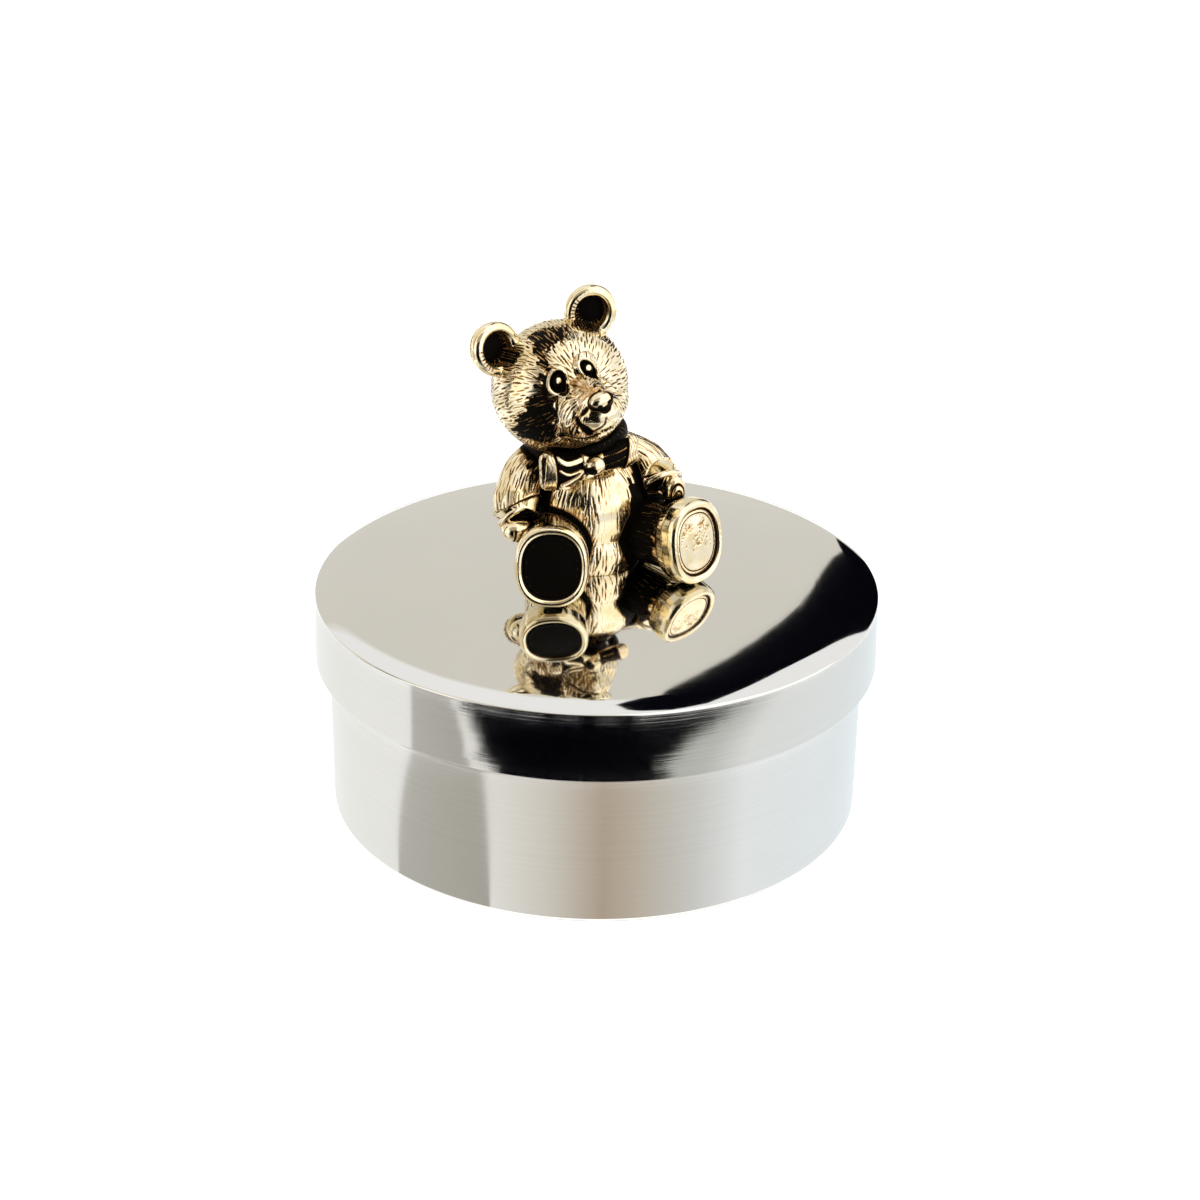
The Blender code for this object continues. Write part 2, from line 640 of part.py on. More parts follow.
def make_bear(gold, lid):
    """The bear, melted from its forms into one casting, then seated on the dome and bored for its screw."""
    mesh = bmesh.new()
    add_body(mesh)
    add_head(mesh)
    add_arms(mesh)
    add_legs(mesh)
    add_bow(mesh)
    bmesh.ops.recalc_face_normals(mesh, faces=mesh.faces)
    place = Matrix.Translation((BEAR_SIDE_SHIFT, BEAR_BACK_SHIFT, CROWN_HEIGHT)) @ turn_about("Z", BEAR_TURN)
    mesh.transform(place)
    bear = add_object("bear_figure", mesh, gold, lid)
    melt(bear)
    cut_seat(bear, lid)
    cut_bore(bear, lid)


def main():
    clear_scene()
    pewter = metal("pewter", (0.79, 0.78, 0.75), 0.18)
    gold = metal("antique_gold", (0.83, 0.68, 0.38), 0.22)
    steel = metal("steel", (0.62, 0.62, 0.62), 0.35)
    felt = metal("felt", (0.80, 0.75, 0.66), 0.95, metallic=0.0)
    lid = bpy.data.objects.new("lid", None)
    bpy.context.scene.collection.objects.link(lid)
    make_base(pewter, felt)
    make_lid(pewter, lid)
    make_fixing(steel, lid)
    make_bear(gold, lid)


main()
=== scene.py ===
import itertools
import math

import bmesh
import bpy
import numpy as np
from mathutils import Matrix, Vector, kdtree


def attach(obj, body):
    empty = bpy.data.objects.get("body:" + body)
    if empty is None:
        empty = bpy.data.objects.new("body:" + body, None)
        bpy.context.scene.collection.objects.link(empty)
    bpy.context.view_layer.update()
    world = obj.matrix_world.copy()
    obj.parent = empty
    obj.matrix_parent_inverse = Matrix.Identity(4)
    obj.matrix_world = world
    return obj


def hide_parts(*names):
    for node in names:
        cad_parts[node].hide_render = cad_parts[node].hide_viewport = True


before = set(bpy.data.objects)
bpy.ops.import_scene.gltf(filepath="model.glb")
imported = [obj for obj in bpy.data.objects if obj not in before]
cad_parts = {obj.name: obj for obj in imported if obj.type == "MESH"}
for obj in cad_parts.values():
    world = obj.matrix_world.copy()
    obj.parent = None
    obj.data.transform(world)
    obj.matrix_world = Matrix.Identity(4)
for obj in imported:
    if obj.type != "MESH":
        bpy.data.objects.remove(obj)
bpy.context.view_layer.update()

SCENE = bpy.context.scene
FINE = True

# Sizes of the box in millimetres, as in the frame
MM = 0.001
SHEET = 1.2
GAP = 0.3
LID_GAP = 0.4
BASE_RADIUS = 34.4
BASE_INNER = BASE_RADIUS - SHEET
FLOOR_TOP = SHEET + GAP
LID_RADIUS = 36.0
RIM_HEIGHT = 29.2
LAND_HEIGHT = RIM_HEIGHT - SHEET
LAND_GAP_HEIGHT = LAND_HEIGHT - GAP
SKIRT_BOTTOM = 20.2
SKIRT_FLARE = 0.2
SKIRT_TOP = RIM_HEIGHT - 0.24
DOME_RADIUS = 170.0
DOME_EDGE = 33.3
SHOULDER_RADIUS = 10.4
HOLE = 1.8
SCREW_RADIUS = 1.5
SCREW_REACH = 5.0
SCREW_PITCH = 0.5
SCREW_ROOT = 1.28
SCREW_TIP = 1.1
HEAD_RADIUS = 2.8
HEAD_HEIGHT = 1.6
WASHER_RADIUS = 3.6
WASHER_THICKNESS = 0.5
LINING_RADIUS = 32.9
LINING_BOTTOM = 1.52
LINING_TOP = 2.5
LINING_LIMIT = 2.52

# The butt seam in the skirt: its direction, half its width, its depth and how far below the rim it starts
SEAM_ANGLE = math.radians(-2.6)
SEAM_HALF = 0.11
SEAM_DEPTH = 0.035
SEAM_START = 4.0

# The bear stands in the middle of the dome, a hair above it
BEAR_PLACE = (-1.4, -0.5)
BEAR_TURN = 23
SEAT = 0.02


def dome_drop(radius):
    """How far the top lies below the crown: the dome, then the tighter shoulder."""
    inner = np.minimum(radius, DOME_EDGE)
    drop = DOME_RADIUS - np.sqrt(DOME_RADIUS**2 - inner**2)
    start = math.asin(DOME_EDGE / DOME_RADIUS)
    over = np.clip(radius - DOME_EDGE, 0, LID_RADIUS - DOME_EDGE)
    slope = np.arcsin(math.sin(start) + over / SHOULDER_RADIUS)
    return drop + SHOULDER_RADIUS * (math.cos(start) - np.cos(slope))


CROWN = RIM_HEIGHT + float(dome_drop(LID_RADIUS))


def dome_height(radius):
    return CROWN - dome_drop(radius)


# Materials
class Nodes:
    """A short way to write a node tree round a Principled shader."""

    def __init__(self, name):
        self.material = bpy.data.materials.new(name)
        self.material.use_nodes = True
        self.tree = self.material.node_tree
        self.shader = self.tree.nodes["Principled BSDF"]

    def put(self, socket, value):
        if isinstance(value, bpy.types.NodeSocket):
            self.tree.links.new(value, socket)
        else:
            socket.default_value = value

    def set(self, **values):
        for key, value in values.items():
            self.put(self.shader.inputs[key.replace("_", " ")], value)

    def add(self, kind, inputs=None, **settings):
        node = self.tree.nodes.new(kind)
        for key, value in settings.items():
            setattr(node, key, value)
        for socket, value in (inputs or {}).items():
            self.put(node.inputs[socket], value)
        return node

    def math(self, operation, a, b=0.0):
        return self.add("ShaderNodeMath", {0: a, 1: b}, operation=operation).outputs[0]

    def plus(self, a, b):
        return self.math("ADD", a, b)

    def times(self, a, b):
        return self.math("MULTIPLY", a, b)

    def ramp(self, factor, stops):
        node = self.add("ShaderNodeValToRGB", {0: factor})
        band = node.color_ramp
        while len(band.elements) < len(stops):
            band.elements.new(0.5)
        for element, (place, colour) in zip(band.elements, stops):
            element.position = place
            element.color = (*colour, 1)
        return node.outputs[0]

    def mix(self, factor, under, colour):
        return self.add("ShaderNodeMix", {0: factor, 6: under, 7: (*colour, 1)}, data_type="RGBA").outputs[2]

    def noise(self, vector, scale, detail, rough):
        inputs = {"Vector": vector, "Scale": scale, "Detail": detail, "Roughness": rough}
        return self.add("ShaderNodeTexNoise", inputs).outputs["Fac"]

    def place(self):
        return self.add("ShaderNodeTexCoord").outputs["Object"]

    def stretched(self, *factors):
        """Object coordinates, in metres, times three factors."""
        inputs = {0: self.place(), 1: factors}
        return self.add("ShaderNodeVectorMath", inputs, operation="MULTIPLY").outputs[0]

    def bump(self, height, distance, strength=1.0):
        inputs = {"Height": height, "Distance": distance, "Strength": strength}
        return self.add("ShaderNodeBump", inputs).outputs[0]


def rolled_pewter(name, gloss, grain):
    """Sheet pewter with fine turning lines round the wall."""
    n = Nodes(name)
    lines = n.noise(n.stretched(10, 10, 3800), 1.0, 3.0, 0.7)
    broad = n.noise(n.stretched(18, 18, 420), 1.0, 2.0, 0.6)
    cloud = n.noise(n.place(), 70.0, 4.0, 0.6)
    tone = n.plus(n.times(lines, 0.6), n.times(cloud, 0.4))
    n.set(Base_Color=n.ramp(tone, [(0.30, (0.765, 0.757, 0.728)), (0.70, (0.812, 0.801, 0.772))]))
    n.set(Roughness=n.plus(n.plus(n.times(lines, grain), n.times(cloud, grain)), gloss))
    n.set(Normal=n.bump(n.plus(lines, n.times(broad, 0.8)), 0.0000035), Anisotropic=0.55, Metallic=1.0)
    n.set(Tangent=n.add("ShaderNodeTangent", direction_type="RADIAL", axis="Z").outputs[0])
    return n.material


def polished_pewter():
    """Mirror-polished pewter with faint round polishing marks."""
    n = Nodes("pewter_polished")
    x, y, _ = n.add("ShaderNodeSeparateXYZ", {0: n.place()}).outputs
    radius = n.math("SQRT", n.plus(n.times(x, x), n.times(y, y)))
    rounds = {0: n.times(x, 25.0), 1: n.times(y, 25.0), 2: n.times(radius, 2600.0)}
    marks = n.noise(n.add("ShaderNodeCombineXYZ", rounds).outputs[0], 1.0, 3.0, 0.65)
    cloud = n.noise(n.place(), 45.0, 4.0, 0.55)
    n.set(Base_Color=n.ramp(cloud, [(0.3, (0.775, 0.766, 0.738)), (0.7, (0.805, 0.795, 0.766))]))
    n.set(Roughness=n.plus(n.times(marks, 0.035), 0.03), Normal=n.bump(marks, 0.0000006), Metallic=1.0)
    return n.material


def antique_gold():
    """Cast and polished gold plate, turning brown and then black where its per-point dark value rises: patina
    in strokes and hollows, and also painted shade and dark reflections.
    """
    n = Nodes("antique_gold_cast")
    patina_and_painted_shade = n.add("ShaderNodeAttribute", attribute_name="patina_and_painted_shade").outputs["Fac"]
    cloud = n.noise(n.place(), 420.0, 4.0, 0.6)
    grain = n.noise(n.place(), 2600.0, 3.0, 0.6)
    gold = n.ramp(cloud, [(0.32, (0.88, 0.73, 0.43)), (0.52, (0.95, 0.84, 0.60)), (0.74, (0.98, 0.91, 0.73))])
    stain_and_painted_shade = n.plus(patina_and_painted_shade, n.times(n.math("SUBTRACT", grain, 0.5), 0.35))
    brown = n.ramp(stain_and_painted_shade, [(0.14, (0, 0, 0)), (0.34, (1, 1, 1))])
    black = n.ramp(stain_and_painted_shade, [(0.36, (0, 0, 0)), (0.60, (1, 1, 1))])
    n.set(Base_Color=n.mix(black, n.mix(brown, gold, (0.48, 0.26, 0.085)), (0.0025, 0.0018, 0.0012)))
    n.set(Metallic=n.math("SUBTRACT", 1.0, n.times(black, 0.8)), Specular_IOR_Level=0.04)
    n.set(Roughness=n.plus(n.times(black, 0.34), n.plus(n.times(cloud, 0.10), 0.10)))
    n.set(Normal=n.bump(grain, 0.000004))
    return n.material


def plain_steel():
    n = Nodes("steel_turned")
    lines = n.noise(n.stretched(400, 400, 6000), 1.0, 3.0, 0.6)
    n.set(Base_Color=n.ramp(lines, [(0.3, (0.52, 0.52, 0.51)), (0.7, (0.66, 0.66, 0.65))]), Metallic=1.0)
    n.set(Roughness=n.plus(n.times(lines, 0.2), 0.22), Normal=n.bump(lines, 0.000006))
    return n.material


def felt():
    """Pressed wool felt with loose surface fibres."""
    n = Nodes("felt_pressed")
    fibres = n.noise(n.stretched(1500, 1500, 1500), 1.0, 6.0, 0.75)
    tufts = n.noise(n.place(), 260.0, 4.0, 0.65)
    tone = n.plus(n.times(fibres, 0.55), n.times(tufts, 0.45))
    wool = [(0.30, (0.66, 0.60, 0.51)), (0.55, (0.80, 0.75, 0.66)), (0.75, (0.87, 0.83, 0.75))]
    n.set(Base_Color=n.ramp(tone, wool), Roughness=0.95, Normal=n.bump(tone, 0.00018, 0.9))
    n.set(Sheen_Weight=0.4, Sheen_Roughness=0.5)
    return n.material


# Pieces
def to_object(name, mesh, material, scale=MM, angle=40):
    """Puts a bmesh in millimetres into the scene as an object in metres."""
    data = bpy.data.meshes.new(name)
    mesh.to_mesh(data)
    mesh.free()
    data.transform(Matrix.Scale(scale, 4))
    data.shade_smooth()
    data.set_sharp_from_angle(angle=math.radians(angle))
    data.materials.append(material)
    item = bpy.data.objects.new(name, data)
    SCENE.collection.objects.link(item)
    return item


def dress(item, body, slot, *nodes):
    """Puts a piece on a body, in place of the CAD's nodes; the slot argument is not used."""
    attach(item, body)
    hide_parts(*nodes)


def bridge(mesh, rows, closed=True):
    """Fills the spaces between rows of points with faces."""
    for lower, upper in zip(rows, rows[1:]):
        for step in range(len(lower) if closed else len(lower) - 1):
            following = (step + 1) % len(lower)
            mesh.faces.new((lower[step], lower[following], upper[following], upper[step]))


def turns(count):
    """The angles of a whole turn in equal steps."""
    return [math.tau * step / count for step in range(count)]


def arc(outline, steps=5):
    """Turns corners given as (radius, height, rounding) into points, with an arc at each rounded one."""
    points = []
    for index, (across, up, rounding) in enumerate(outline):
        corner = Vector((across, up))
        if not rounding:
            points.append(corner)
            continue
        before = (Vector(outline[index - 1][:2]) - corner).normalized()
        after = (Vector(outline[(index + 1) % len(outline)][:2]) - corner).normalized()
        half = before.angle(after) / 2
        reach = rounding / math.tan(half)
        middle = corner + (before + after).normalized() * rounding / math.sin(half)
        start = corner + before * reach - middle
        sweep = before.angle_signed(after)
        sweep = (math.pi - abs(sweep)) * math.copysign(1, sweep)
        # a point just before and after each arc keeps the shading of the flats even
        points.append(corner + before * (reach + 0.05))
        for step in range(steps + 1):
            points.append(middle + Matrix.Rotation(sweep * step / steps, 2) @ start)
        points.append(corner + after * (reach + 0.05))
    return points


def turned(points, steps=288, extra=()):
    """Revolves a closed outline about the Z axis, with extra angles between the steps."""
    mesh = bmesh.new()
    angles = sorted(turns(steps) + list(extra))
    rings = []
    for across, up in points:
        around = [(across * math.sin(a), -across * math.cos(a), up) for a in angles]
        rings.append([mesh.verts.new(place) for place in (around if across > 1e-6 else [(0, 0, up)])])
    for lower, upper in zip(rings, rings[1:] + rings[:1]):
        if len(lower) == len(upper) == 1:
            continue
        for step in range(len(angles)):
            following = (step + 1) % len(angles)
            corners = [lower[step % len(lower)], lower[following % len(lower)],
                       upper[following % len(upper)], upper[step % len(upper)]]
            mesh.faces.new(list(dict.fromkeys(corners)))
    bmesh.ops.recalc_face_normals(mesh, faces=mesh.faces)
    return mesh


def make_base():
    line = [(0, 0, 0), (BASE_RADIUS, 0, 0.45), (BASE_RADIUS, LAND_GAP_HEIGHT, 0.28),
            (BASE_INNER, LAND_GAP_HEIGHT, 0.28), (BASE_INNER, FLOOR_TOP, 0.25), (0, FLOOR_TOP, 0)]
    base = to_object("base_shell", turned(arc(line)), rolled_pewter("pewter_brushed", 0.085, 0.05))
    dress(base, "base", "pewter", "base_wall", "base_floor")


def make_skirt():
    inner, outer, step = BASE_RADIUS + LID_GAP, LID_RADIUS, LID_RADIUS - 0.1
    line = [(inner, LAND_GAP_HEIGHT, 0), (inner + SKIRT_FLARE, SKIRT_BOTTOM, 0.22),
            (outer + SKIRT_FLARE, SKIRT_BOTTOM, 0.28), (outer, SKIRT_TOP, 0), (step, SKIRT_TOP, 0),
            (step, LAND_GAP_HEIGHT, 0)]
    half = SEAM_HALF / LID_RADIUS
    extra = [(SEAM_ANGLE + share * half) % math.tau for share in (-2.2, -1, -0.45, 0, 0.45, 1, 2.2)]
    mesh = turned(arc(line), extra=extra)
    for vertex in mesh.verts:
        x, y, z = vertex.co
        radius = math.hypot(x, y)
        away = abs(math.atan2(x, -y) - SEAM_ANGLE) * LID_RADIUS
        if radius < LID_RADIUS - 0.3 or away > SEAM_HALF or z > SKIRT_TOP - SEAM_START:
            continue
        depth = SEAM_DEPTH * (1 - (away / SEAM_HALF) ** 2)
        vertex.co.x *= 1 - depth / radius
        vertex.co.y *= 1 - depth / radius
    skirt = to_object("lid_skirt_skin", mesh, rolled_pewter("pewter_skirt", 0.04, 0.035))
    dress(skirt, "lid", "pewter", "lid_skirt")


def make_lid_top():
    hidden = 0.02
    across = np.concatenate([np.linspace(HOLE, DOME_EDGE, 26), np.linspace(DOME_EDGE, LID_RADIUS, 13)[1:-1]])
    outer = [(float(r), float(dome_height(r)), 0) for r in across]
    edge = [(LID_RADIUS, RIM_HEIGHT, 0.2), (LID_RADIUS, SKIRT_TOP + 0.005, 0),
            (LID_RADIUS - 0.12, SKIRT_TOP + 0.005, 0), (LID_RADIUS - 0.12, LAND_GAP_HEIGHT + hidden, 0),
            (LID_RADIUS - 1.0, LAND_GAP_HEIGHT + hidden, 0), (LID_RADIUS - 1.0, LAND_HEIGHT, 0),
            (BASE_INNER, LAND_HEIGHT, 0.1)]
    under = [(r, height - SHEET, 0) for r, height, _ in outer if r < BASE_INNER - 0.4]
    top = to_object("lid_top_skin", turned(arc(outer + edge + under[::-1])), polished_pewter(), angle=50)
    dress(top, "lid", "pewter", "lid_top")


def make_fixing():
    """The washer and the screw inside the lid, the screw with a thread and a cross drive."""
    steel = plain_steel()
    washer_top = float(dome_height(WASHER_RADIUS)) - SHEET - GAP
    washer_bottom = washer_top - WASHER_THICKNESS
    washer = turned(arc([(HOLE, washer_bottom, 0.08), (WASHER_RADIUS, washer_bottom, 0.12),
                         (WASHER_RADIUS, washer_top, 0.12), (HOLE, washer_top, 0.08)]), 96)
    dress(to_object("washer_skin", washer, steel), "lid", "steel", "bear_washer")

    head_top = washer_bottom - GAP
    head_bottom = head_top - HEAD_HEIGHT
    tip = float(dome_height(HOLE)) + SCREW_REACH
    line = [(0, head_bottom, 0), (HEAD_RADIUS, head_bottom, 0.75), (HEAD_RADIUS, head_top, 0.1),
            (SCREW_RADIUS, head_top, 0)]
    level = head_top + 0.4
    while level < tip - SCREW_PITCH:
        line += [(SCREW_RADIUS, level, 0), (SCREW_ROOT, level + SCREW_PITCH / 2, 0)]
        level += SCREW_PITCH
    line += [(SCREW_RADIUS, level, 0), (SCREW_TIP, tip, 0), (0, tip, 0)]
    screw = to_object("screw_skin", turned(arc(line), 64), steel)
    cutter = bmesh.new()
    for turn, depth in ((20, 1.5), (110, 1.59)):
        slot = Matrix.Translation((0, 0, head_bottom)) @ turn_about("Z", turn)
        bmesh.ops.create_cube(cutter, size=1, matrix=slot @ Matrix.Diagonal((3.0, 0.55, depth, 1)))
    cross = to_object("cross_cutter", cutter, steel)
    drive = screw.modifiers.new("drive", "BOOLEAN")
    drive.operation = "DIFFERENCE"
    drive.solver = "EXACT"
    drive.use_self = True
    drive.object = cross
    bake_modifiers(screw)
    bpy.data.objects.remove(cross)
    dress(screw, "lid", "steel", "bear_screw")


def bake_modifiers(item):
    """Turns an object's modified mesh into its own mesh."""
    graph = bpy.context.evaluated_depsgraph_get()
    data = bpy.data.meshes.new_from_object(item.evaluated_get(graph))
    old = item.data
    item.modifiers.clear()
    item.data = data
    bpy.data.meshes.remove(old)


def make_lining():
    """The felt disc, with a slightly uneven top and a cut edge."""
    radius, bottom, top = LINING_RADIUS, LINING_BOTTOM, LINING_TOP
    rings = 60
    mesh = bmesh.new()
    profile = [(radius * 0.5, bottom), (radius - 0.16, bottom), (radius, bottom + 0.2),
               (radius, top - 0.25), (radius - 0.2, top - 0.03)]
    profile += [(radius * step / rings * 0.99, top) for step in range(rings - 1, 0, -1)]
    waves = np.random.default_rng(4).normal(size=(14, 4))
    rows = []
    for index, (across, up) in enumerate(profile):
        row = []
        for a in turns(288):
            x, y, z = across * math.sin(a), -across * math.cos(a), up
            if index > 2:
                lift = sum(0.010 * math.sin(w[0] * 0.35 * x + w[1] * 0.35 * y + w[2] * 3) for w in waves)
                z = min(up + lift, LINING_LIMIT)
            row.append(mesh.verts.new((x, y, z)))
        rows.append(row)
    bridge(mesh, rows)
    for row, up in ((rows[0], bottom), (rows[-1], top)):
        middle = mesh.verts.new((0, 0, up))
        for first, second in zip(row, row[1:] + row[:1]):
            mesh.faces.new((first, second, middle))
    bmesh.ops.recalc_face_normals(mesh, faces=mesh.faces)
    lining = to_object("felt_lining", mesh, felt(), angle=60)
    dress(lining, "base", "felt", "base_lining")
    across = 2 * radius * MM


# The bear's forms, in millimetres about its seat
def turn_about(axis, degrees):
    return Matrix.Rotation(math.radians(degrees), 4, axis)


def blob(mesh, middle, sizes, turn=None, subdivisions=4):
    """Adds a ball stretched to a width, depth and height."""
    halves = [size / 2 for size in sizes]
    place = Matrix.Translation(middle) @ (turn or Matrix()) @ Matrix.Diagonal((*halves, 1))
    bmesh.ops.create_icosphere(mesh, subdivisions=subdivisions, radius=1, matrix=place)


def curve_points(points, count):
    """Points on the smooth curve through a list of points."""
    points = [Vector(point) for point in points]
    spans = len(points) - 1
    result = []
    for step in range(count):
        place = step / (count - 1) * spans
        span = min(int(place), spans - 1)
        t = place - span
        a, b = points[max(span - 1, 0)], points[span]
        c, d = points[span + 1], points[min(span + 2, spans)]
        square, cube = 2 * a - 5 * b + 4 * c - d, 3 * b - a - 3 * c + d
        result.append(0.5 * (2 * b + (c - a) * t + square * t**2 + cube * t**3))
    return result


def sideways(ahead, up):
    """The two directions square to a path."""
    side = ahead.cross(Vector(up)).normalized()
    return side, side.cross(ahead).normalized()


def tube(mesh, points, widths, up=(0, 0, 1), round_end=True):
    """A tube of changing width along a smooth path, with a round start and, if asked, a round end."""
    count = 28
    path = curve_points(points, count)
    spans = len(widths) - 1
    sizes = [float(np.interp(step / (count - 1) * spans, range(spans + 1), widths)) for step in range(count)]
    rings = []
    for index, (point, size) in enumerate(zip(path, sizes)):
        ahead = (path[min(index + 1, count - 1)] - path[max(index - 1, 0)]).normalized()
        side, lift = sideways(ahead, up)
        ring = [point + (side * math.cos(a) + lift * math.sin(a)) * size / 2 for a in turns(36)]
        rings.append([mesh.verts.new(place) for place in ring])
    bridge(mesh, rings)
    mesh.faces.new(rings[0][::-1])
    mesh.faces.new(rings[-1])
    for index in (0, -1) if round_end else (0,):
        ahead = (path[index] - path[1 if index == 0 else -2]).normalized()
        side, lift = sideways(ahead, up)
        blob(mesh, path[index], [sizes[index]] * 3, Matrix((side, ahead, lift)).transposed().to_4x4(), 3)


def ring(mesh, middle, width, height, thickness, turn, flat=1.0):
    """A round-edged oval ring in the X-Z plane, turned about its middle; flat stretches it along Y."""
    rings = []
    for a in turns(64):
        centre = Vector((math.cos(a) * width, 0, math.sin(a) * height)) / 2
        out = Vector((math.cos(a) / width, 0, math.sin(a) / height)).normalized()
        loop = []
        for b in turns(20):
            aside = Vector((0, math.sin(b) * thickness / 2 * flat, 0))
            place = centre + out * (math.cos(b) * thickness / 2) + aside
            loop.append(mesh.verts.new(Vector(middle) + turn @ place))
        rings.append(loop)
    bridge(mesh, rings + rings[:1])


def melted(name, mesh, grain, rounds, place):
    """Fuses overlapping closed forms into one closed skin and softens its creases, in millimetres."""
    bmesh.ops.recalc_face_normals(mesh, faces=mesh.faces)
    data = bpy.data.meshes.new(name)
    mesh.to_mesh(data)
    mesh.free()
    item = bpy.data.objects.new(name, data)
    SCENE.collection.objects.link(item)
    melt = item.modifiers.new("melt", "REMESH")
    melt.mode = "VOXEL"
    melt.voxel_size = grain if FINE else grain * 1.8
    soften = item.modifiers.new("soften", "SMOOTH")
    soften.factor = 0.5
    soften.iterations = rounds
    bake_modifiers(item)
    item.data.transform(place)
    return item


BODY = Matrix.Translation((*BEAR_PLACE, CROWN)) @ turn_about("Z", BEAR_TURN)
HEAD_PLACE = Matrix.Translation((-4.0, -0.4, 23.6)) @ turn_about("Z", 2.5)
HEAD = BODY @ (HEAD_PLACE @ turn_about("Y", -15.5) @ turn_about("X", -6))
# Each eye's place on the face, the lean of its socket in degrees, and half the socket's width and height
EYES = [(-2.3, 3.35), (1.75, 3.35)]
EYE_LEANS = (21, -27)
SOCKETS = [(1.0, 1.42), (0.78, 1.42)]
EYEBALL = (1.3, 1.0, 1.7)
EARS = {-1: (-6.35, -0.1, 7.6), 1: (6.5, -0.1, 7.2)}
NOSE = (0.6, -12.0, 0.85)


def skull_front(x, z):
    """Depth of the front of the skull at a place on the face."""
    return -8.0 * math.sqrt(max(0.0, 1 - (x / 8.6) ** 2 - (z / 8.1) ** 2))


def ear_turn(side):
    return turn_about("Z", -side * 12) @ turn_about("Y", side * 22)


def head_forms():
    mesh = bmesh.new()
    blob(mesh, (0, 0, 0), (17.2, 16.0, 16.2), None, 6)
    blob(mesh, (0, -1.2, -2.6), (15.2, 13.6, 10.4), None, 5)
    # the snout: a bridge, a muzzle, two lip puffs and a chin
    tube(mesh, [(0.1, -6.4, 0.6), (0.3, -9.0, 0.7), (0.45, -11.0, 0.35)], [5.0, 4.5, 3.2])
    tube(mesh, [(0.1, -6.0, -1.3), (0.2, -8.8, -1.2), (0.4, -10.0, -1.0)], [9.0, 7.8, 5.4])
    for side in (-1, 1):
        blob(mesh, (0.45 + 1.45 * side, -10.2, -0.95), (3.2, 3.4, 2.9), turn_about("Y", side * 20), 5)
    blob(mesh, (0.1, -10.1, -2.2), (3.0, 2.8, 2.3), None, 5)
    # the brows round the eyes
    for side, (x, z) in zip((-1, 1), EYES):
        blob(mesh, (x, skull_front(x, z) + 0.45, z), (3.3, 1.5, 4.2), turn_about("Z", side * 14), 4)
    for side, ear in EARS.items():
        turn = ear_turn(side)
        ring(mesh, ear, 5.1, 5.5, 1.5, turn, 1.2)
        blob(mesh, Vector(ear) + turn @ Vector((0, 1.1, 0)), (6.1, 1.2, 6.5), turn, 4)
    return mesh


def torso_forms():
    mesh = bmesh.new()
    blob(mesh, (0, 0, 7.4), (15.0, 14.6, 16.6), None, 6)
    blob(mesh, (-1.0, 0, 12.6), (11.8, 10.4, 11.0), None, 5)
    blob(mesh, (0, 0, 2.2), (14.6, 14.6, 11.0), None, 5)
    blob(mesh, (-2.0, 0, 18.1), (8.8, 8.8, 11.0), None, 5)
    return mesh


ARM_PATHS = {
    "left": [(-5.2, 0.6, 15.0), (-8.3, 0.0, 12.5), (-10.2, -1.8, 9.9), (-10.8, -3.1, 8.4)],
    "right": [(4.2, 0.6, 14.0), (7.0, -0.9, 12.1), (7.9, -2.8, 10.6), (8.3, -3.9, 10.5)],
}
ARM_WIDTHS = {"left": (4.6, 5.6, 5.9, 5.5), "right": (4.6, 5.9, 6.4, 5.9)}
CUFF_FACES = {"left": Vector((0.25, -0.72, -0.62)), "right": Vector((0.10, -0.72, -0.68))}
CUFF_WIDTHS = {"left": 4.6, "right": 5.0}
# Half the width of the dark opening in each cuff
CUFF_OPENINGS = {"left": 2.0, "right": 2.2}
# Each paw's place and sizes
PAWS = {"left": ((-11.3, -4.6, 7.15), (3.9, 3.6, 3.1)), "right": ((9.35, -5.7, 9.75), (2.9, 3.2, 4.2))}


def cuff_turn(side):
    return CUFF_FACES[side].normalized().to_track_quat("-Y", "Z").to_matrix().to_4x4()


def arm_forms(side):
    mesh = bmesh.new()
    tube(mesh, ARM_PATHS[side], ARM_WIDTHS[side], round_end=False)
    turn = cuff_turn(side)
    wrist = Vector(ARM_PATHS[side][-1]) + turn @ Vector((0, -0.25, 0))
    ring(mesh, wrist, CUFF_WIDTHS[side], CUFF_WIDTHS[side], 0.8, turn)
    paw, sizes = PAWS[side]
    tube(mesh, [wrist, paw], [2.0, 2.4])
    blob(mesh, paw, sizes, None, 5)
    return mesh


HIPS = {"left": Vector((-4.65, -1.0, 4.3)), "right": Vector((4.65, -1.0, 4.3))}
FOOT_DROP = float(dome_drop(11.2))
FEET = {"left": Vector((-9.25, -11.2, 5.1 - FOOT_DROP)), "right": Vector((9.55, -11.2, 5.4 - FOOT_DROP))}
FOOT_TURNS = {"left": -22, "right": 22}
# Half the width and half the height of each foot's rim
FOOT_SIZES = {"left": (4.55, 5.2), "right": (4.55, 5.4)}
FOOT_FULLNESS = 2.35
# The foot's outline from its back, over the rim, to the middle of the pad: share of the rim and depth
FOOT_LINE = [(0.80, 3.2), (0.93, 2.2), (1.0, 0.9), (1.0, -0.2), (0.98, -0.75), (0.93, -1.15), (0.87, -1.22),
             (0.80, -1.0), (0.745, -0.72), (0.715, -0.70), (0.69, -0.86), (0.665, -0.74), (0.64, -0.74),
             (0.4, -0.80), (0.2, -0.83)]


def foot_turn(side):
    return turn_about("Z", FOOT_TURNS[side]) @ turn_about("X", -9)


def foot_reach(x, z, side):
    """How far out a place on a foot lies, where 1 is its rim: an oval with fuller corners."""
    wide, tall = FOOT_SIZES[side]
    return ((np.abs(x) / wide) ** FOOT_FULLNESS + (np.abs(z) / tall) ** FOOT_FULLNESS) ** (1 / FOOT_FULLNESS)


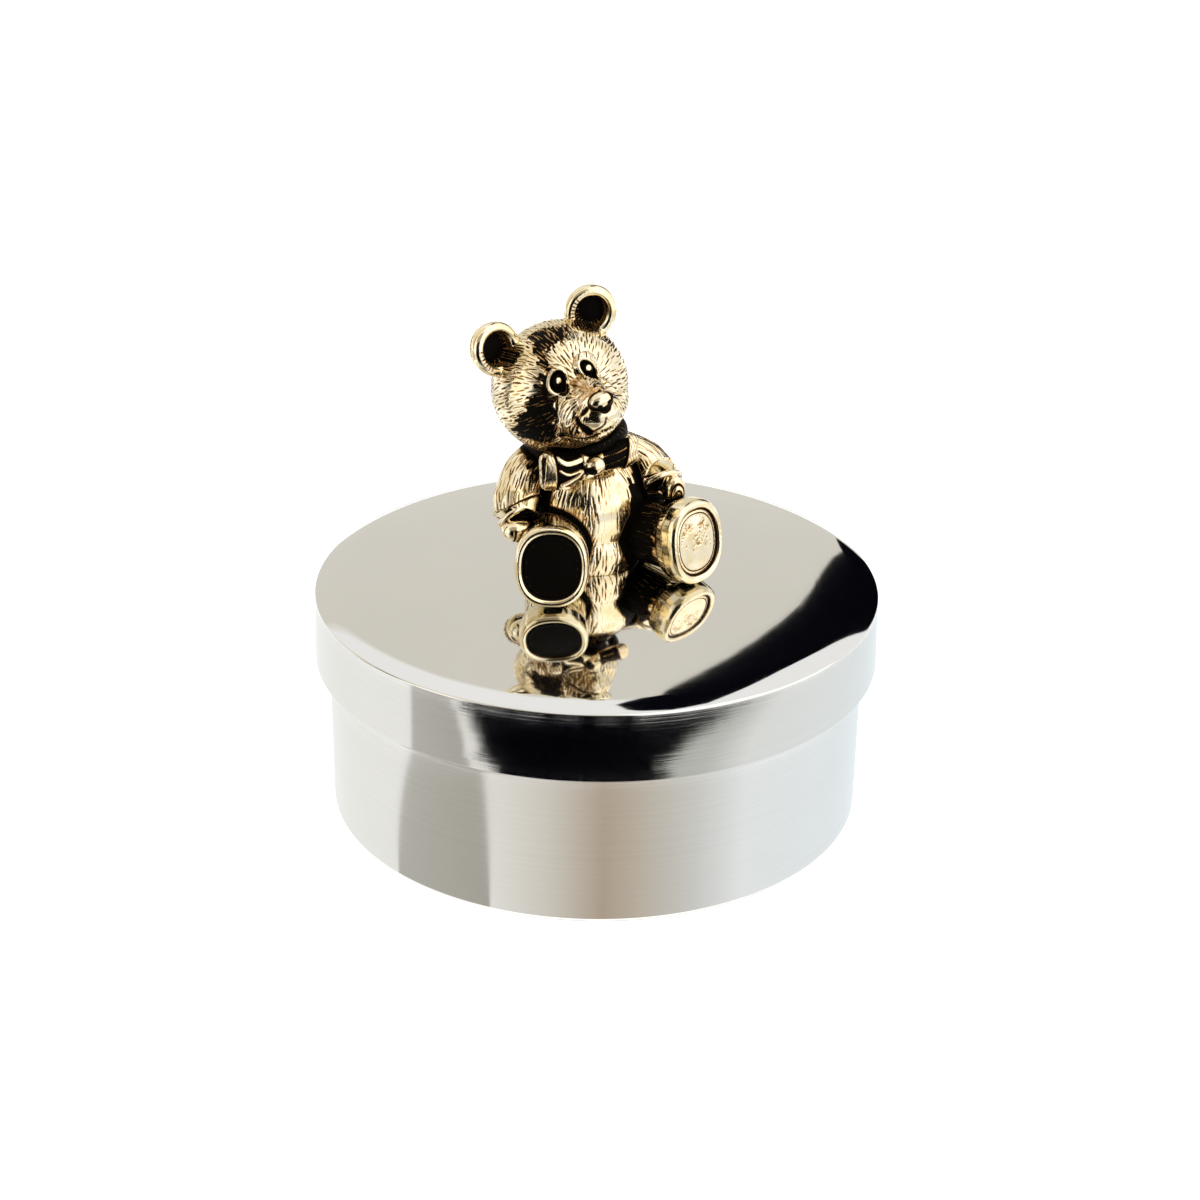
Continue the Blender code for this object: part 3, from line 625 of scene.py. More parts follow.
def leg_forms(side):
    mesh = bmesh.new()
    hip, foot, turn = HIPS[side], FEET[side], foot_turn(side)
    back = foot + turn @ Vector((0, 1.4, 0))
    ankle = Vector((back.x, back.y, hip.z + 0.2))
    tube(mesh, [hip, hip.lerp(ankle, 0.5), ankle], [8.6, 8.2, 8.0], round_end=False)
    rows = []
    for share, depth in FOOT_LINE:
        row = []
        for a in turns(120):
            reach = share / float(foot_reach(math.cos(a), math.sin(a), side))
            place = Vector((math.cos(a) * reach, depth, math.sin(a) * reach))
            row.append(mesh.verts.new(foot + turn @ place))
        rows.append(row)
    bridge(mesh, rows)
    mesh.faces.new(rows[0])
    mesh.faces.new(rows[-1][::-1])
    return mesh


KNOT = Vector((-2.6, -8.0, 15.7))
# Each loop's path from the knot and its widths; a bar closes its outer end
LOOPS = {
    "left": ([(0, 0, 0), (-1.7, 0.3, -0.2), (-3.7, 0.8, -0.55), (-5.5, 1.4, -0.45)], [1.8, 3.9, 5.2, 5.0]),
    "right": ([(0, 0, 0), (1.7, 0.3, 0.0), (4.0, 0.9, 0.2), (5.6, 1.6, 0.6)], [1.6, 3.0, 3.6, 3.9]),
}
BAR_WIDTH = 2.0
BAR_LEANS = {"left": -0.04, "right": 0.2}
BAR_STARTS = {"left": 0.15, "right": 0.0}


def bow_bend(x):
    """How far the bow bends back round the neck."""
    return np.where(x < KNOT.x, 0.012, 0.034) * (x - KNOT.x) ** 2


def bow_forms():
    mesh = bmesh.new()
    for side, (points, widths) in LOOPS.items():
        tube(mesh, [KNOT + Vector(point) for point in points], widths, round_end=False)
        end, half = KNOT + Vector(points[-1]), widths[-1] / 2 - BAR_WIDTH / 2
        lean = Vector((BAR_LEANS[side], 0, 1)).normalized() * half
        tube(mesh, [end - lean, end, end + lean], [BAR_WIDTH] * 3, up=(0, 1, 0))
    for vertex in mesh.verts:
        bend = float(bow_bend(vertex.co.x))
        vertex.co.y = KNOT.y + bend + (vertex.co.y - KNOT.y - bend) * 0.6 + 0.3
    blob(mesh, KNOT + Vector((0.05, -0.35, 0.1)), (2.7, 2.6, 2.3), turn_about("Y", -12), 4)
    return mesh


def collar_forms():
    mesh = bmesh.new()
    ring(mesh, (-1.9, -0.5, 16.9), 11.4, 11.6, 1.7, turn_about("Y", -8) @ turn_about("X", 90), 1.25)
    return mesh


def eye_forms(number):
    mesh = bmesh.new()
    x, z = EYES[number]
    blob(mesh, (x, skull_front(x, z) + 0.12, z), EYEBALL, turn_about("Y", EYE_LEANS[number]), 5)
    return mesh


def nose_forms():
    mesh = bmesh.new()
    blob(mesh, NOSE, (3.2, 1.9, 2.1), turn_about("X", 15), 5)
    blob(mesh, Vector(NOSE) + Vector((0, 0.2, -0.8)), (1.7, 1.7, 1.9), None, 5)
    return mesh


# Tools that carve and darken a skin
def local(points, place):
    """Points in a frame's own coordinates."""
    back = np.array(place.inverted())
    return points @ back[:3, :3].T + back[:3, 3]


def spread(vectors, place):
    """Directions of a frame, as directions of the world."""
    return vectors @ np.array(place)[:3, :3].T


def step_up(values, low, high):
    t = np.clip((values - low) / (high - low), 0, 1)
    return t * t * (3 - 2 * t)


def step_down(values, low, high):
    return 1 - step_up(values, low, high)


def bell(values, middle, width):
    return np.exp(-(((values - middle) / width) ** 2))


def ball(points, middle, sizes):
    """How far out each point lies from the middle of a ball, where 1 is its surface."""
    return np.linalg.norm((points - np.array(middle)) / np.array(sizes), axis=1)


def tree_of(points):
    tree = kdtree.KDTree(len(points))
    for index, point in enumerate(points):
        tree.insert(point, index)
    tree.balance()
    return tree


class Skin:
    """A piece's points and normals as arrays, with what darkens it: strokes (groove) and stains, the stains
    also holding painted shade and dark reflections.
    """

    def __init__(self, item):
        self.item = item
        self.read()
        self.groove, self.stain_and_painted_shade, self.clear = (np.zeros(len(self.points)) for _ in range(3))
        # the middle of the stroke that each point is nearest to
        self.cells = self.points

    def read(self):
        data = self.item.data
        count = len(data.vertices)
        self.points = np.empty(count * 3)
        data.vertices.foreach_get("co", self.points)
        self.points = self.points.reshape(-1, 3)
        self.normals = np.empty(count * 3, dtype=np.float32)
        data.vertex_normals.foreach_get("vector", self.normals)
        self.normals = self.normals.reshape(-1, 3).astype(float)

    def write(self):
        self.item.data.vertices.foreach_set("co", self.points.reshape(-1))
        self.item.data.update()
        self.read()

    def push(self, amount):
        """Moves every point along its normal."""
        self.points += self.normals * amount[:, None]
        self.write()

    # blackens a share of the skin: patina in cuts, cups and sockets, and also painted shade and dark
    # reflections
    def blacken(self, amount):
        self.stain_and_painted_shade = np.maximum(self.stain_and_painted_shade, amount)

    def score(self, amount):
        self.groove = np.maximum(self.groove, amount)

    def darken(self, share, dark, kept):
        """Paints shade and dark reflections over a share of the skin; its strokes keep only a part of the
        dark and show the gold.
        """
        stroke = np.clip(self.groove * 1.6, 0, 1)
        self.groove = self.groove * (1 - share)
        self.blacken(share * (dark * kept + dark * (1 - kept) * (1 - stroke)))
        self.clear = np.maximum(self.clear, share)

    def patch(self, place, patches, allowed):
        """Paints shade and dark reflections over outlined parts of the front, with edges that follow the
        strokes.
        """
        own, cells = local(self.points, place)[:, [0, 2]], local(self.cells, place)[:, [0, 2]]
        for outline, dark, kept in patches:
            share = 0.5 * inside(own, outline, 0.8) + 0.5 * inside(cells, outline, 0.3)
            self.darken(step_up(share, 0.45, 0.70) * allowed, dark, kept)

    def hollows(self, rounds, reach):
        """How far each point lies below the smoothed skin, as a share of a depth."""
        copy = self.item.copy()
        copy.data = self.item.data.copy()
        SCENE.collection.objects.link(copy)
        soften = copy.modifiers.new("soften", "SMOOTH")
        soften.factor = 0.5
        soften.iterations = rounds if FINE else rounds // 3
        bake_modifiers(copy)
        points = np.empty(len(self.points) * 3)
        copy.data.vertices.foreach_get("co", points)
        bpy.data.objects.remove(copy)
        lift = np.sum((points.reshape(-1, 3) - self.points) * self.normals, axis=1)
        return np.clip(lift / reach, 0, 1)


NEIGHBOURS = list(itertools.product((-1, 0, 1), repeat=3))
STROKE_STEP = 0.13


def spaced(points, flow, allowed, across, along):
    """Chooses places for strokes, each clear of the others by an oval along its own direction."""

    def too_near(other, p, f):
        x, y, z = other[0] - p[0], other[1] - p[1], other[2] - p[2]
        run = x * f[0] + y * f[1] + z * f[2]
        rest = x * x + y * y + z * z - run * run
        return (run / along) ** 2 + rest / across**2 < 1

    grid = {}
    chosen = []
    for index in allowed:
        p, f = points[index], flow[index]
        i, j, k = (int(value // along) for value in p)
        near = itertools.chain.from_iterable(grid.get((i + a, j + b, k + c), ()) for a, b, c in NEIGHBOURS)
        if not any(too_near(other, p, f) for other in near):
            grid.setdefault((i, j, k), []).append(tuple(p))
            chosen.append(index)
    return chosen


def fur(skin, direction, mask, seed, across=0.42, along=1.8, length=(1.4, 3.2), width=0.12, depth=0.09):
    """Cuts short strokes into a skin along a direction field."""
    random = np.random.default_rng(seed)
    points = skin.points
    flow = direction(points)
    flow -= skin.normals * np.sum(flow * skin.normals, axis=1)[:, None]
    size = np.linalg.norm(flow, axis=1)
    flow /= np.maximum(size, 1e-9)[:, None]
    allowed = np.flatnonzero((mask > 0.05) & (size > 0.05))
    random.shuffle(allowed)
    seeds = spaced(points, flow, allowed, across, along)

    # each stroke runs over the skin as a row of samples
    tree = tree_of(points)
    samples, shares, owners = [], [], []
    for number, index in enumerate(seeds):
        span = random.uniform(*length)
        count = max(4, int(span / STROKE_STEP))
        lean = random.normal() * 0.10
        p = points[index] - flow[index] * span / 2
        for step in range(count + 1):
            near = tree.find(p)[1]
            n, f = skin.normals[near], flow[near]
            p = p - n * np.dot(p - points[near], n)
            samples.append(p)
            shares.append(step / count)
            owners.append(number)
            p = p + (f + np.cross(n, f) * lean) * STROKE_STEP
    samples, shares, owners = np.array(samples), np.array(shares), np.array(owners)

    # each point's distance from the nearest stroke, and its share of that stroke's length
    marks = tree_of(samples)
    nearest = np.array([marks.find(point)[1] for point in points])
    best = np.full(len(points), 9.0)
    share = np.zeros(len(points))
    for shift in (-1, 1):
        other = np.clip(nearest + shift, 0, len(samples) - 1)
        same = owners[other] == owners[nearest]
        a = samples[nearest]
        run = np.where(same[:, None], samples[other], a) - a
        t = np.clip(np.sum((points - a) * run, axis=1) / np.maximum(np.sum(run * run, axis=1), 1e-9), 0, 1)
        gap = np.linalg.norm(points - (a + run * t[:, None]), axis=1)
        closer = gap < best
        best = np.where(closer, gap, best)
        between = shares[nearest] + (shares[other] - shares[nearest]) * np.where(same, t, 0)
        share = np.where(closer, between, share)
    strength = (random.uniform(0.4, 1.0, len(seeds)) * mask[seeds])[owners[nearest]]
    taper = np.sqrt(np.clip(np.sin(np.pi * np.clip(share, 0.02, 0.98)), 0, 1)) * strength
    profile = np.clip(1 - (best / (width * (0.55 + 0.45 * taper))) ** 2, 0, 1) * taper
    skin.score(profile)
    skin.cells = points[np.array(seeds)[owners[nearest]]]
    skin.push(-profile * depth)


def cut_line(skin, place, line, width, depth):
    """Cuts a listed line, given in a frame's coordinates."""
    points = local(skin.points, place)
    path = np.array([list(p) for p in curve_points(line, 24)])
    gap = np.full(len(points), 9.0)
    for a, b in zip(path, path[1:]):
        near = np.linalg.norm(points - a, axis=1) < 2.0
        run = b - a
        t = np.clip((points[near] - a) @ run / max(run @ run, 1e-9), 0, 1)
        away = np.linalg.norm(points[near] - (a + t[:, None] * run), axis=1)
        gap[near] = np.minimum(gap[near], away)
    cut = np.clip(1 - (gap / width) ** 2, 0, 1)
    skin.blacken(cut)
    skin.push(-cut * depth)


def inside(places, outline, soft):
    """1 inside a closed outline and 0 outside it, with a soft edge."""
    gap = np.full(len(places), 9.0)
    within = np.zeros(len(places), dtype=bool)
    for (ax, az), (bx, bz) in zip(outline, outline[1:] + outline[:1]):
        run = np.array([bx - ax, bz - az])
        away = places - np.array([ax, az])
        t = np.clip(away @ run / (run @ run), 0, 1)
        gap = np.minimum(gap, np.linalg.norm(away - t[:, None] * run, axis=1))
        crossed = (places[:, 1] < az) != (places[:, 1] < bz)
        if bz != az:
            within ^= crossed & (places[:, 0] < ax + (places[:, 1] - az) * (bx - ax) / (bz - az))
    return step_up(np.where(within, gap, -gap), -soft, soft)


def mottle(random, places, size):
    """Smooth random values from 0 to 1 across the x and z of places, with spots of about this size."""
    cells = 60
    grid = random.uniform(0, 1, (cells, cells))
    across, up = (places[:, 0] + 8) / size, (places[:, 2] + 8) / size
    column, row = np.clip(across.astype(int), 0, cells - 2), np.clip(up.astype(int), 0, cells - 2)
    right, above = step_up(across - column, 0, 1), step_up(up - row, 0, 1)
    low = grid[column, row] * (1 - right) + grid[column + 1, row] * right
    high = grid[column, row + 1] * (1 - right) + grid[column + 1, row + 1] * right
    return low * (1 - above) + high * above


# Lines cut into the face: points, half the width and depth
FACE_LINES = [
    ([(1.2, -11.3, 1.9), (-0.6, -12.2, 1.5), (-1.6, -11.3, 0.1), (-2.4, -10.2, -0.9)], 0.36, 0.22),
    ([(-2.2, -10.3, -1.1), (-1.95, -10.7, -2.0), (-1.6, -10.8, -3.0)], 0.80, 0.5),
    ([(-1.5, -10.7, -3.1), (-0.9, -11.7, -2.5), (-0.05, -12.3, -1.85), (0.35, -12.5, -1.2)], 0.24, 0.2),
    ([(1.97, -10.6, 1.2), (2.1, -11.5, 0.3), (2.35, -11.7, -0.8), (2.45, -11.4, -1.7), (1.5, -12.1, -1.8),
      (0.5, -12.5, -1.5)], 0.17, 0.15),
    ([(-4.0, -6.9, -3.4), (-3.1, -8.2, -3.6), (-2.4, -9.8, -3.6), (-1.4, -10.5, -3.7), (-0.4, -10.8, -3.5),
      (1.5, -10.2, -3.0)], 0.30, 0.3),
    ([(-3.1, -7.5, 1.7), (-3.7, -7.6, 0.3), (-4.1, -7.4, -1.3)], 0.20, 0.15),
]

# Parts of the face painted dark as shade and dark reflections, by their outlines: how dark they are, and how
# much of it the strokes keep
BROW = [(-2.3, 7.9), (-0.95, 8.1), (0.8, 8.0), (3.0, 7.4), (1.0, 6.8), (-0.95, 6.55), (-1.9, 6.4),
        (-2.2, 5.5), (-2.6, 4.9), (-3.1, 4.6), (-3.4, 5.6), (-2.9, 6.8)]
CHEEK = [(-2.2, 5.4), (-4.3, 4.2), (-5.0, 3.0), (-6.0, 2.0), (-7.5, 0.1), (-8.1, -1.8), (-7.6, -3.2),
         (-6.7, -3.7), (-5.6, -4.1), (-4.2, -3.6), (-4.15, -1.3), (-3.65, 0.4), (-3.3, 1.9), (-3.3, 3.3)]
CHIN = [(-4.1, -1.4), (-2.5, -1.1), (-2.2, -2.1), (-1.9, -3.3), (-3.0, -3.5), (-4.2, -3.5)]
JAW = [(-8.0, -3.4), (-5.6, -4.2), (-3.0, -3.8), (-0.6, -3.9), (-0.4, -8.5), (-7.0, -8.5)]
BRIDGE = [(-1.5, 1.5), (-1.4, 2.5), (-0.9, 3.1), (-0.1, 3.1), (0.8, 2.7), (2.1, 1.7), (1.4, 1.4), (0.3, 1.6),
          (-0.7, 1.2), (-1.5, 0.6)]
FACE_PATCHES = [(BROW, 0.88, 0.3), (CHEEK, 1.0, 0.5), (CHIN, 0.62, 0.1), (JAW, 0.55, 0.1),
                (BRIDGE, 0.33, 0.6)]

# Painted shade and dark reflections on the torso: beside the right leg, beside the left arm and under the bow
TORSO_PATCHES = [
    ([(3.4, 12.0), (3.3, 9.0), (3.4, 5.0), (3.6, 1.0), (3.4, -2.0), (9.0, -2.0), (9.0, 12.0)], 1.0, 0.75),
    ([(-9.0, 13.0), (-7.3, 13.0), (-7.0, 8.0), (-9.0, 8.0)], 1.0, 0.8),
    ([(-9.0, 14.6), (-6.0, 13.3), (-4.4, 13.0), (-3.2, 14.2), (0.0, 13.6), (4.0, 13.4), (8.0, 14.0),
      (8.0, 20.0), (-9.0, 20.0)], 0.9, 0.6),
]


def eye_rings(own, number):
    """How far out each point lies from an eye, where 1 is the edge of the socket."""
    (x, z), (wide, tall) = EYES[number], SOCKETS[number]
    dx, dz = own[:, 0] - x, own[:, 2] - z
    lean = math.radians(EYE_LEANS[number])
    u = dx * math.cos(lean) - dz * math.sin(lean)
    v = dx * math.sin(lean) + dz * math.cos(lean)
    front = np.array([skull_front(x, z) for x, z in own[:, [0, 2]]])
    return np.where(np.abs(own[:, 1] - front) < 1.3, np.hypot(u / wide, v / tall), 9.0)


def carve_ear(skin, own, side):
    """Darkens an ear's cup, with light scratches and a hatched rim, and returns where no fur is cut."""
    dish = local(own, Matrix.Translation(EARS[side]) @ ear_turn(side))
    q = np.hypot(dish[:, 0] / 1.9, dish[:, 2] / 2.1)
    turn = np.arctan2(dish[:, 2], dish[:, 0])
    scratch = np.clip(np.sin(turn * 23 + 2 * np.sin(turn * 5)) * 1.6 - 0.4, 0, 1) * step_up(q, 0.35, 0.8)
    scratch = scratch * step_up(-side * dish[:, 0] * 0.6 - dish[:, 2], -0.6, 0.9)
    cup = step_down(q, 0.88, 1.06) * (dish[:, 1] < 0.9) * (dish[:, 1] > -2.5)
    skin.blacken(cup * (1 - 0.62 * scratch))
    facing = step_up(np.cos(turn - math.radians(172)), 0.68, 0.86) * (dish[:, 1] < 0.4)
    skin.score(np.clip(np.sin(turn * 34) * 2.4 - 0.9, 0, 1) * bell(q, 1.22, 0.24) * facing * 0.9)
    return step_down(q, 1.72, 1.85) * step_up(dish[:, 1], -1.5, -1.1)


def carve_head(skin):
    own = local(skin.points, HEAD)
    push, bare, rings = (np.zeros(len(own)) for _ in range(3))
    for number in (0, 1):
        q = eye_rings(own, number)
        push += -0.50 * step_down(q, 0.70, 1.0) + 0.16 * bell(q, 1.20, 0.12)
        rings = np.maximum(rings, step_down(q, 1.26, 1.36))
        skin.blacken(step_down(q, 0.93, 1.06))
        bare = np.maximum(bare, step_down(q, 1.22, 1.34))
    skin.push(push)
    for line, width, depth in FACE_LINES:
        cut_line(skin, HEAD, line, width, depth)
    own = local(skin.points, HEAD)
    for side in EARS:
        bare = np.maximum(bare, carve_ear(skin, own, side))
    bare = np.maximum(bare, step_down(ball(own, NOSE, (1.9, 1.6, 1.9)), 0.9, 1.1))
    lips = step_down(ball(own, (0.4, -12.0, -1.0), (2.6, 3.0, 2.0)), 0.85, 1.1)

    def away_from_snout(points):
        away = local(points, HEAD) - np.array([0.2, -9.8, 1.4])
        away[:, 1] *= 0.35
        return spread(away, HEAD)

    fur(skin, away_from_snout, (1 - bare) * (1 - lips), 11, 0.38, 1.15, (0.8, 2.1), 0.115)
    own = local(skin.points, HEAD)
    skin.patch(HEAD, FACE_PATCHES, (own[:, 1] < -0.8) * (1 - rings))


def carve_torso(skin):
    def down(points):
        q = local(points, BODY)
        return spread(np.stack([q[:, 0] * 0.04, np.zeros(len(q)), np.full(len(q), -1.0)], axis=1), BODY)

    own = local(skin.points, BODY)
    belly = np.hypot((own[:, 0] - 0.7) / 2.6, (own[:, 2] - 7.2) / 5.2)
    fur(skin, down, np.where(own[:, 1] < 0, 0.35 + 0.65 * step_up(belly, 0.6, 1.15), 1.0), 12)
    skin.patch(BODY, TORSO_PATCHES, local(skin.points, BODY)[:, 1] < 0)


def carve_arm(skin, side):
    line = np.array([list(p) for p in curve_points(ARM_PATHS[side], 30)])
    along = np.gradient(line, axis=0)

    def down_sleeve(points):
        q = local(points, BODY)
        near = np.argmin(((q[:, None, :] - line[None]) ** 2).sum(-1), axis=1)
        return spread(along[near], BODY)

    cuff = Matrix.Translation(ARM_PATHS[side][-1]) @ cuff_turn(side)
    past_cuff = local(local(skin.points, BODY), cuff)[:, 1]
    fur(skin, down_sleeve, step_up(past_cuff, 0.35, 0.65), 13 + len(side))
    own = local(skin.points, BODY)
    # the upper inner side of the left arm is painted dark, as shade beside the torso
    if side == "left":
        mixed = local(skin.cells, BODY) * 0.6 + own * 0.4
        skin.darken(step_up(mixed[:, 0], -9.3, -8.2) * step_up(mixed[:, 2], 10.6, 12.6), 0.9, 0.3)
    q = local(own, cuff)
    gap = np.hypot(q[:, 0], q[:, 2])
    paw, sizes = PAWS[side]
    on_paw = ball(own, paw, np.array(sizes) / 2 + 0.12) < 1
    skin.blacken(((gap < CUFF_OPENINGS[side]) & (q[:, 1] > -1.0) & (q[:, 1] < 0.6) & ~on_paw) * 1.0)
    hem = bell(q[:, 1], 0.42, 0.11) * (gap > 1.9)
    skin.score(hem * 0.9)
    skin.push(-hem * 0.10)
    # the right paw has an oval pad, the left one two lines between its fingers
    if side == "right":
        pad = np.hypot((own[:, 0] - paw[0]) / 0.95, (own[:, 2] - paw[2] + 0.2) / 1.5)
        lines = np.maximum(bell(pad, 0.95, 0.13), bell(pad, 0.38, 0.13) * 0.8) * (own[:, 1] < paw[1] - 0.3)
    else:
        lines = np.maximum(bell(own[:, 0], paw[0] - 0.75, 0.12), bell(own[:, 0], paw[0] + 0.25, 0.12) * 0.8)
        lines = lines * (own[:, 2] < paw[2] + 0.5) * (own[:, 1] < paw[1]) * on_paw
    skin.score(lines * 0.9)
    skin.push(-lines * 0.09)


def carve_leg(skin, side):
    spot = BODY @ Matrix.Translation(FEET[side]) @ foot_turn(side)

    def ahead(points):
        return spread(np.tile((0.0, -1.0, 0.0), (len(points), 1)), spot)

    fur(skin, ahead, step_up(local(skin.points, spot)[:, 1], 1.6, 2.0), 23 + len(side))
    q = local(skin.points, spot)
    gap = foot_reach(q[:, 0], q[:, 2], side)
    face = (q[:, 1] < 0.2) * 1.0
    trench = bell(gap, 0.765, 0.028) * face
    line = bell(gap, 0.675, 0.016) * face
    skin.blacken(trench)
    skin.score(line * 0.9)
    random = np.random.default_rng(31)
    worn = 0.55 * mottle(random, q, 0.72) + 0.45 * mottle(random, q, 0.28)
    spots = np.maximum(bell(worn, 0.60, 0.045), 0.9 * step_up(worn, 0.72, 0.80))
    pits = spots * face * step_down(gap, 0.56, 0.64) * step_up(q[:, 2], -2.6, 0.2) * (side == "right")
    # the right leg's inner side is painted black as shade beside the belly, and the left pad is painted black
    # as a dark reflection, with a few light flecks at its edge
    if side == "right":
        behind = step_up(local(skin.cells, spot)[:, 1] * 0.5 + q[:, 1] * 0.5, 2.2, 2.9)
        inner = step_up(-(skin.normals @ np.array(spot)[:3, :3])[:, 0], 0.05, 0.35)
        skin.darken(behind * inner, 0.95, 0.6)
    else:
        flecks = np.sin(np.arctan2(q[:, 0], q[:, 2]) * 19 + 3 * np.sin(gap * 40)) * 1.8 - 1.2
        flecks = np.clip(flecks, 0, 1) * bell(gap, 0.69, 0.05)
        skin.groove = np.where((gap < 0.74) & (face > 0), 0, skin.groove)
        skin.blacken(step_down(gap, 0.75, 0.80) * face * (0.95 - 0.75 * flecks))
    skin.score(pits * 0.48)
    skin.push(-(trench * 0.12 + line * 0.05 + pits * 0.04))


# Light folds in each loop, as places out from the knot and above it, with half their widths
FOLDS = {
    "left": [([(4.6, 1.45), (3.5, 0.85), (1.8, 1.05)], 0.33), ([(4.5, 0.1), (3.4, -0.5), (1.9, -0.2)], 0.18),
             ([(4.2, -1.9), (3.4, -1.55), (2.3, -1.0), (1.6, -0.35)], 0.24),
             ([(4.7, -2.2), (3.2, -2.45)], 0.2)],
    "right": [([(1.5, 1.0), (3.4, 1.2), (4.6, 1.5)], 0.09), ([(1.5, -0.1), (3.2, 0.1), (4.4, 0.5)], 0.07),
              ([(1.9, -0.9), (3.6, -0.9)], 0.08)],
}
# How much of each loop's folds stays gold; the right loop's folds are dimmed as painted shade
FOLD_LIGHTS = {"left": 1.0, "right": 0.62}


def carve_bow(skin):
    own = local(skin.points, BODY)
    push = np.zeros(len(own))
    for side, (points, _) in LOOPS.items():
        sign = -1 if side == "left" else 1
        out, up = sign * (own[:, 0] - KNOT.x), own[:, 2] - KNOT.z
        front = (own[:, 1] < KNOT.y + bow_bend(own[:, 0]) + 0.9) * (out > 0)
        x, _, z = points[-1]
        end = sign * x - BAR_WIDTH / 2 + sign * BAR_LEANS[side] * (up - z) + BAR_STARTS[side]
        window = step_up(out, 1.25, 1.5) * step_down(out, end, end + 0.3) * front
        flat = np.stack([out, np.zeros(len(out)), up], axis=1)
        light = np.zeros(len(out))
        for line, width in FOLDS[side]:
            path = [np.array(point) for point in curve_points([(a, 0, b) for a, b in line], 16)]
            gap = np.min([np.linalg.norm(flat - point, axis=1) for point in path], axis=0)
            light = np.maximum(light, step_down(gap, width * 0.75, width * 1.25) * FOLD_LIGHTS[side])
        # each loop's pressed-in front is painted black as shade, with its folds left gold
        push += window * (0.16 * light - 0.34 * (1 - light))
        skin.blacken(window * (1 - light))
        skin.clear = np.maximum(skin.clear, window * light)
        waves = 0.5 + 0.5 * np.sin(out * 15 + 2.5 * np.sin(up * 3.1))
        skin.blacken(np.maximum(bell(out, end + 0.12, 0.16), 0.34 * waves * step_up(out, end - 0.2, end)) * front)
    skin.push(push)
    knot = np.hypot((own[:, 0] - KNOT.x + 0.75) / 0.75, (own[:, 2] - KNOT.z + 0.35) / 0.75)
    skin.blacken(step_down(knot, 0.75, 1.05) * (own[:, 1] < KNOT.y))


def carve_collar(skin):
    """Painted black in front as shade under the head, with brown streaks, and gold with black strokes behind.
    """
    own = local(skin.points, BODY)
    around = np.arctan2(own[:, 0] - KNOT.x, -own[:, 1])
    streaks = 0.62 * np.clip(np.sin(around * 46 + own[:, 2] * 5) * 2.2 - 1.4, 0, 1)
    strokes = np.clip(np.sin(around * 60 + own[:, 2] * 4) * 2.0 - 0.9, 0, 1)
    behind = step_up(np.abs(around), 1.3, 1.9)
    skin.blacken(0.95 * (1 - streaks) * (1 - behind) + 0.85 * strokes * behind)


def nose_shade_and_nostrils(skin):
    """A dark edge, heavier on its right and lower side as painted shade, and two nostrils."""
    own = local(skin.points, HEAD) - np.array(NOSE)
    edge = step_up(np.hypot((own[:, 0] + 0.25) / 1.35, (own[:, 2] - 0.35) / 0.95), 0.80, 1.05)
    right = np.hypot((own[:, 0] - 0.75) / 0.42, (own[:, 2] + 0.25) / 0.3)
    left = np.hypot((own[:, 0] + 0.62) / 0.36, (own[:, 2] + 0.4) / 0.26)
    return np.maximum(0.85 * edge, 0.95 * step_down(np.minimum(left, right), 0.75, 1.1))


def eye_black_and_highlight(skin):
    """Black, with a small spot left gold as a painted highlight."""
    own = local(skin.points, HEAD)
    middle = own.mean(axis=0)
    return step_up(np.hypot(own[:, 0] - middle[0] - 0.05, own[:, 2] - middle[2] - 0.12), 0.30, 0.42)


# Painted shade near other pieces: how near another piece a piece is black, and how near it is darkened at all
SHADED_MOST = (0.35, 0.9)
SHADED = {
    ("bear_torso", "bear_arm_left"): (1.0, 1.6), ("bear_torso", "bear_bow"): (0.7, 1.4),
    ("bear_torso", "bear_arm_right"): (0.6, 1.2), ("bear_torso", "bear_leg_right"): (0.9, 1.5),
    ("bear_head", "bear_eye_left"): (0.0, 0.01), ("bear_head", "bear_eye_right"): (0.0, 0.01),
    ("bear_head", "bear_nose"): (0.12, 0.3), ("bear_leg_right", "bear_arm_right"): (0.8, 1.8),
}


def skin_patina_and_shade(name, skins, trees):
    """Strokes, stains with their painted shade and dark reflections, hollows, and the painted shade of the
    pieces that lie near.
    """
    skin = skins[name]
    dark = np.maximum(np.maximum(skin.groove, skin.stain_and_painted_shade), skin.hollows(24, 0.10) * (1 - skin.clear))
    # behind the bear the shade is narrower
    narrower = 1 + 1.4 * step_up(local(skin.points, BODY)[:, 1], 0.5, 3.0)
    for other, tree in trees.items():
        if other == name:
            continue
        low, high = skins[other].points.min(axis=0) - 1.0, skins[other].points.max(axis=0) + 1.0
        full, faint = SHADED.get((name, other), SHADED_MOST)
        for index in np.flatnonzero(np.all((skin.points > low) & (skin.points < high), axis=1)):
            gap = tree.find(skin.points[index])[2] * narrower[index]
            if gap < faint:
                dark[index] = max(dark[index], 1 - max(0.0, gap - full) / (faint - full))
    return dark


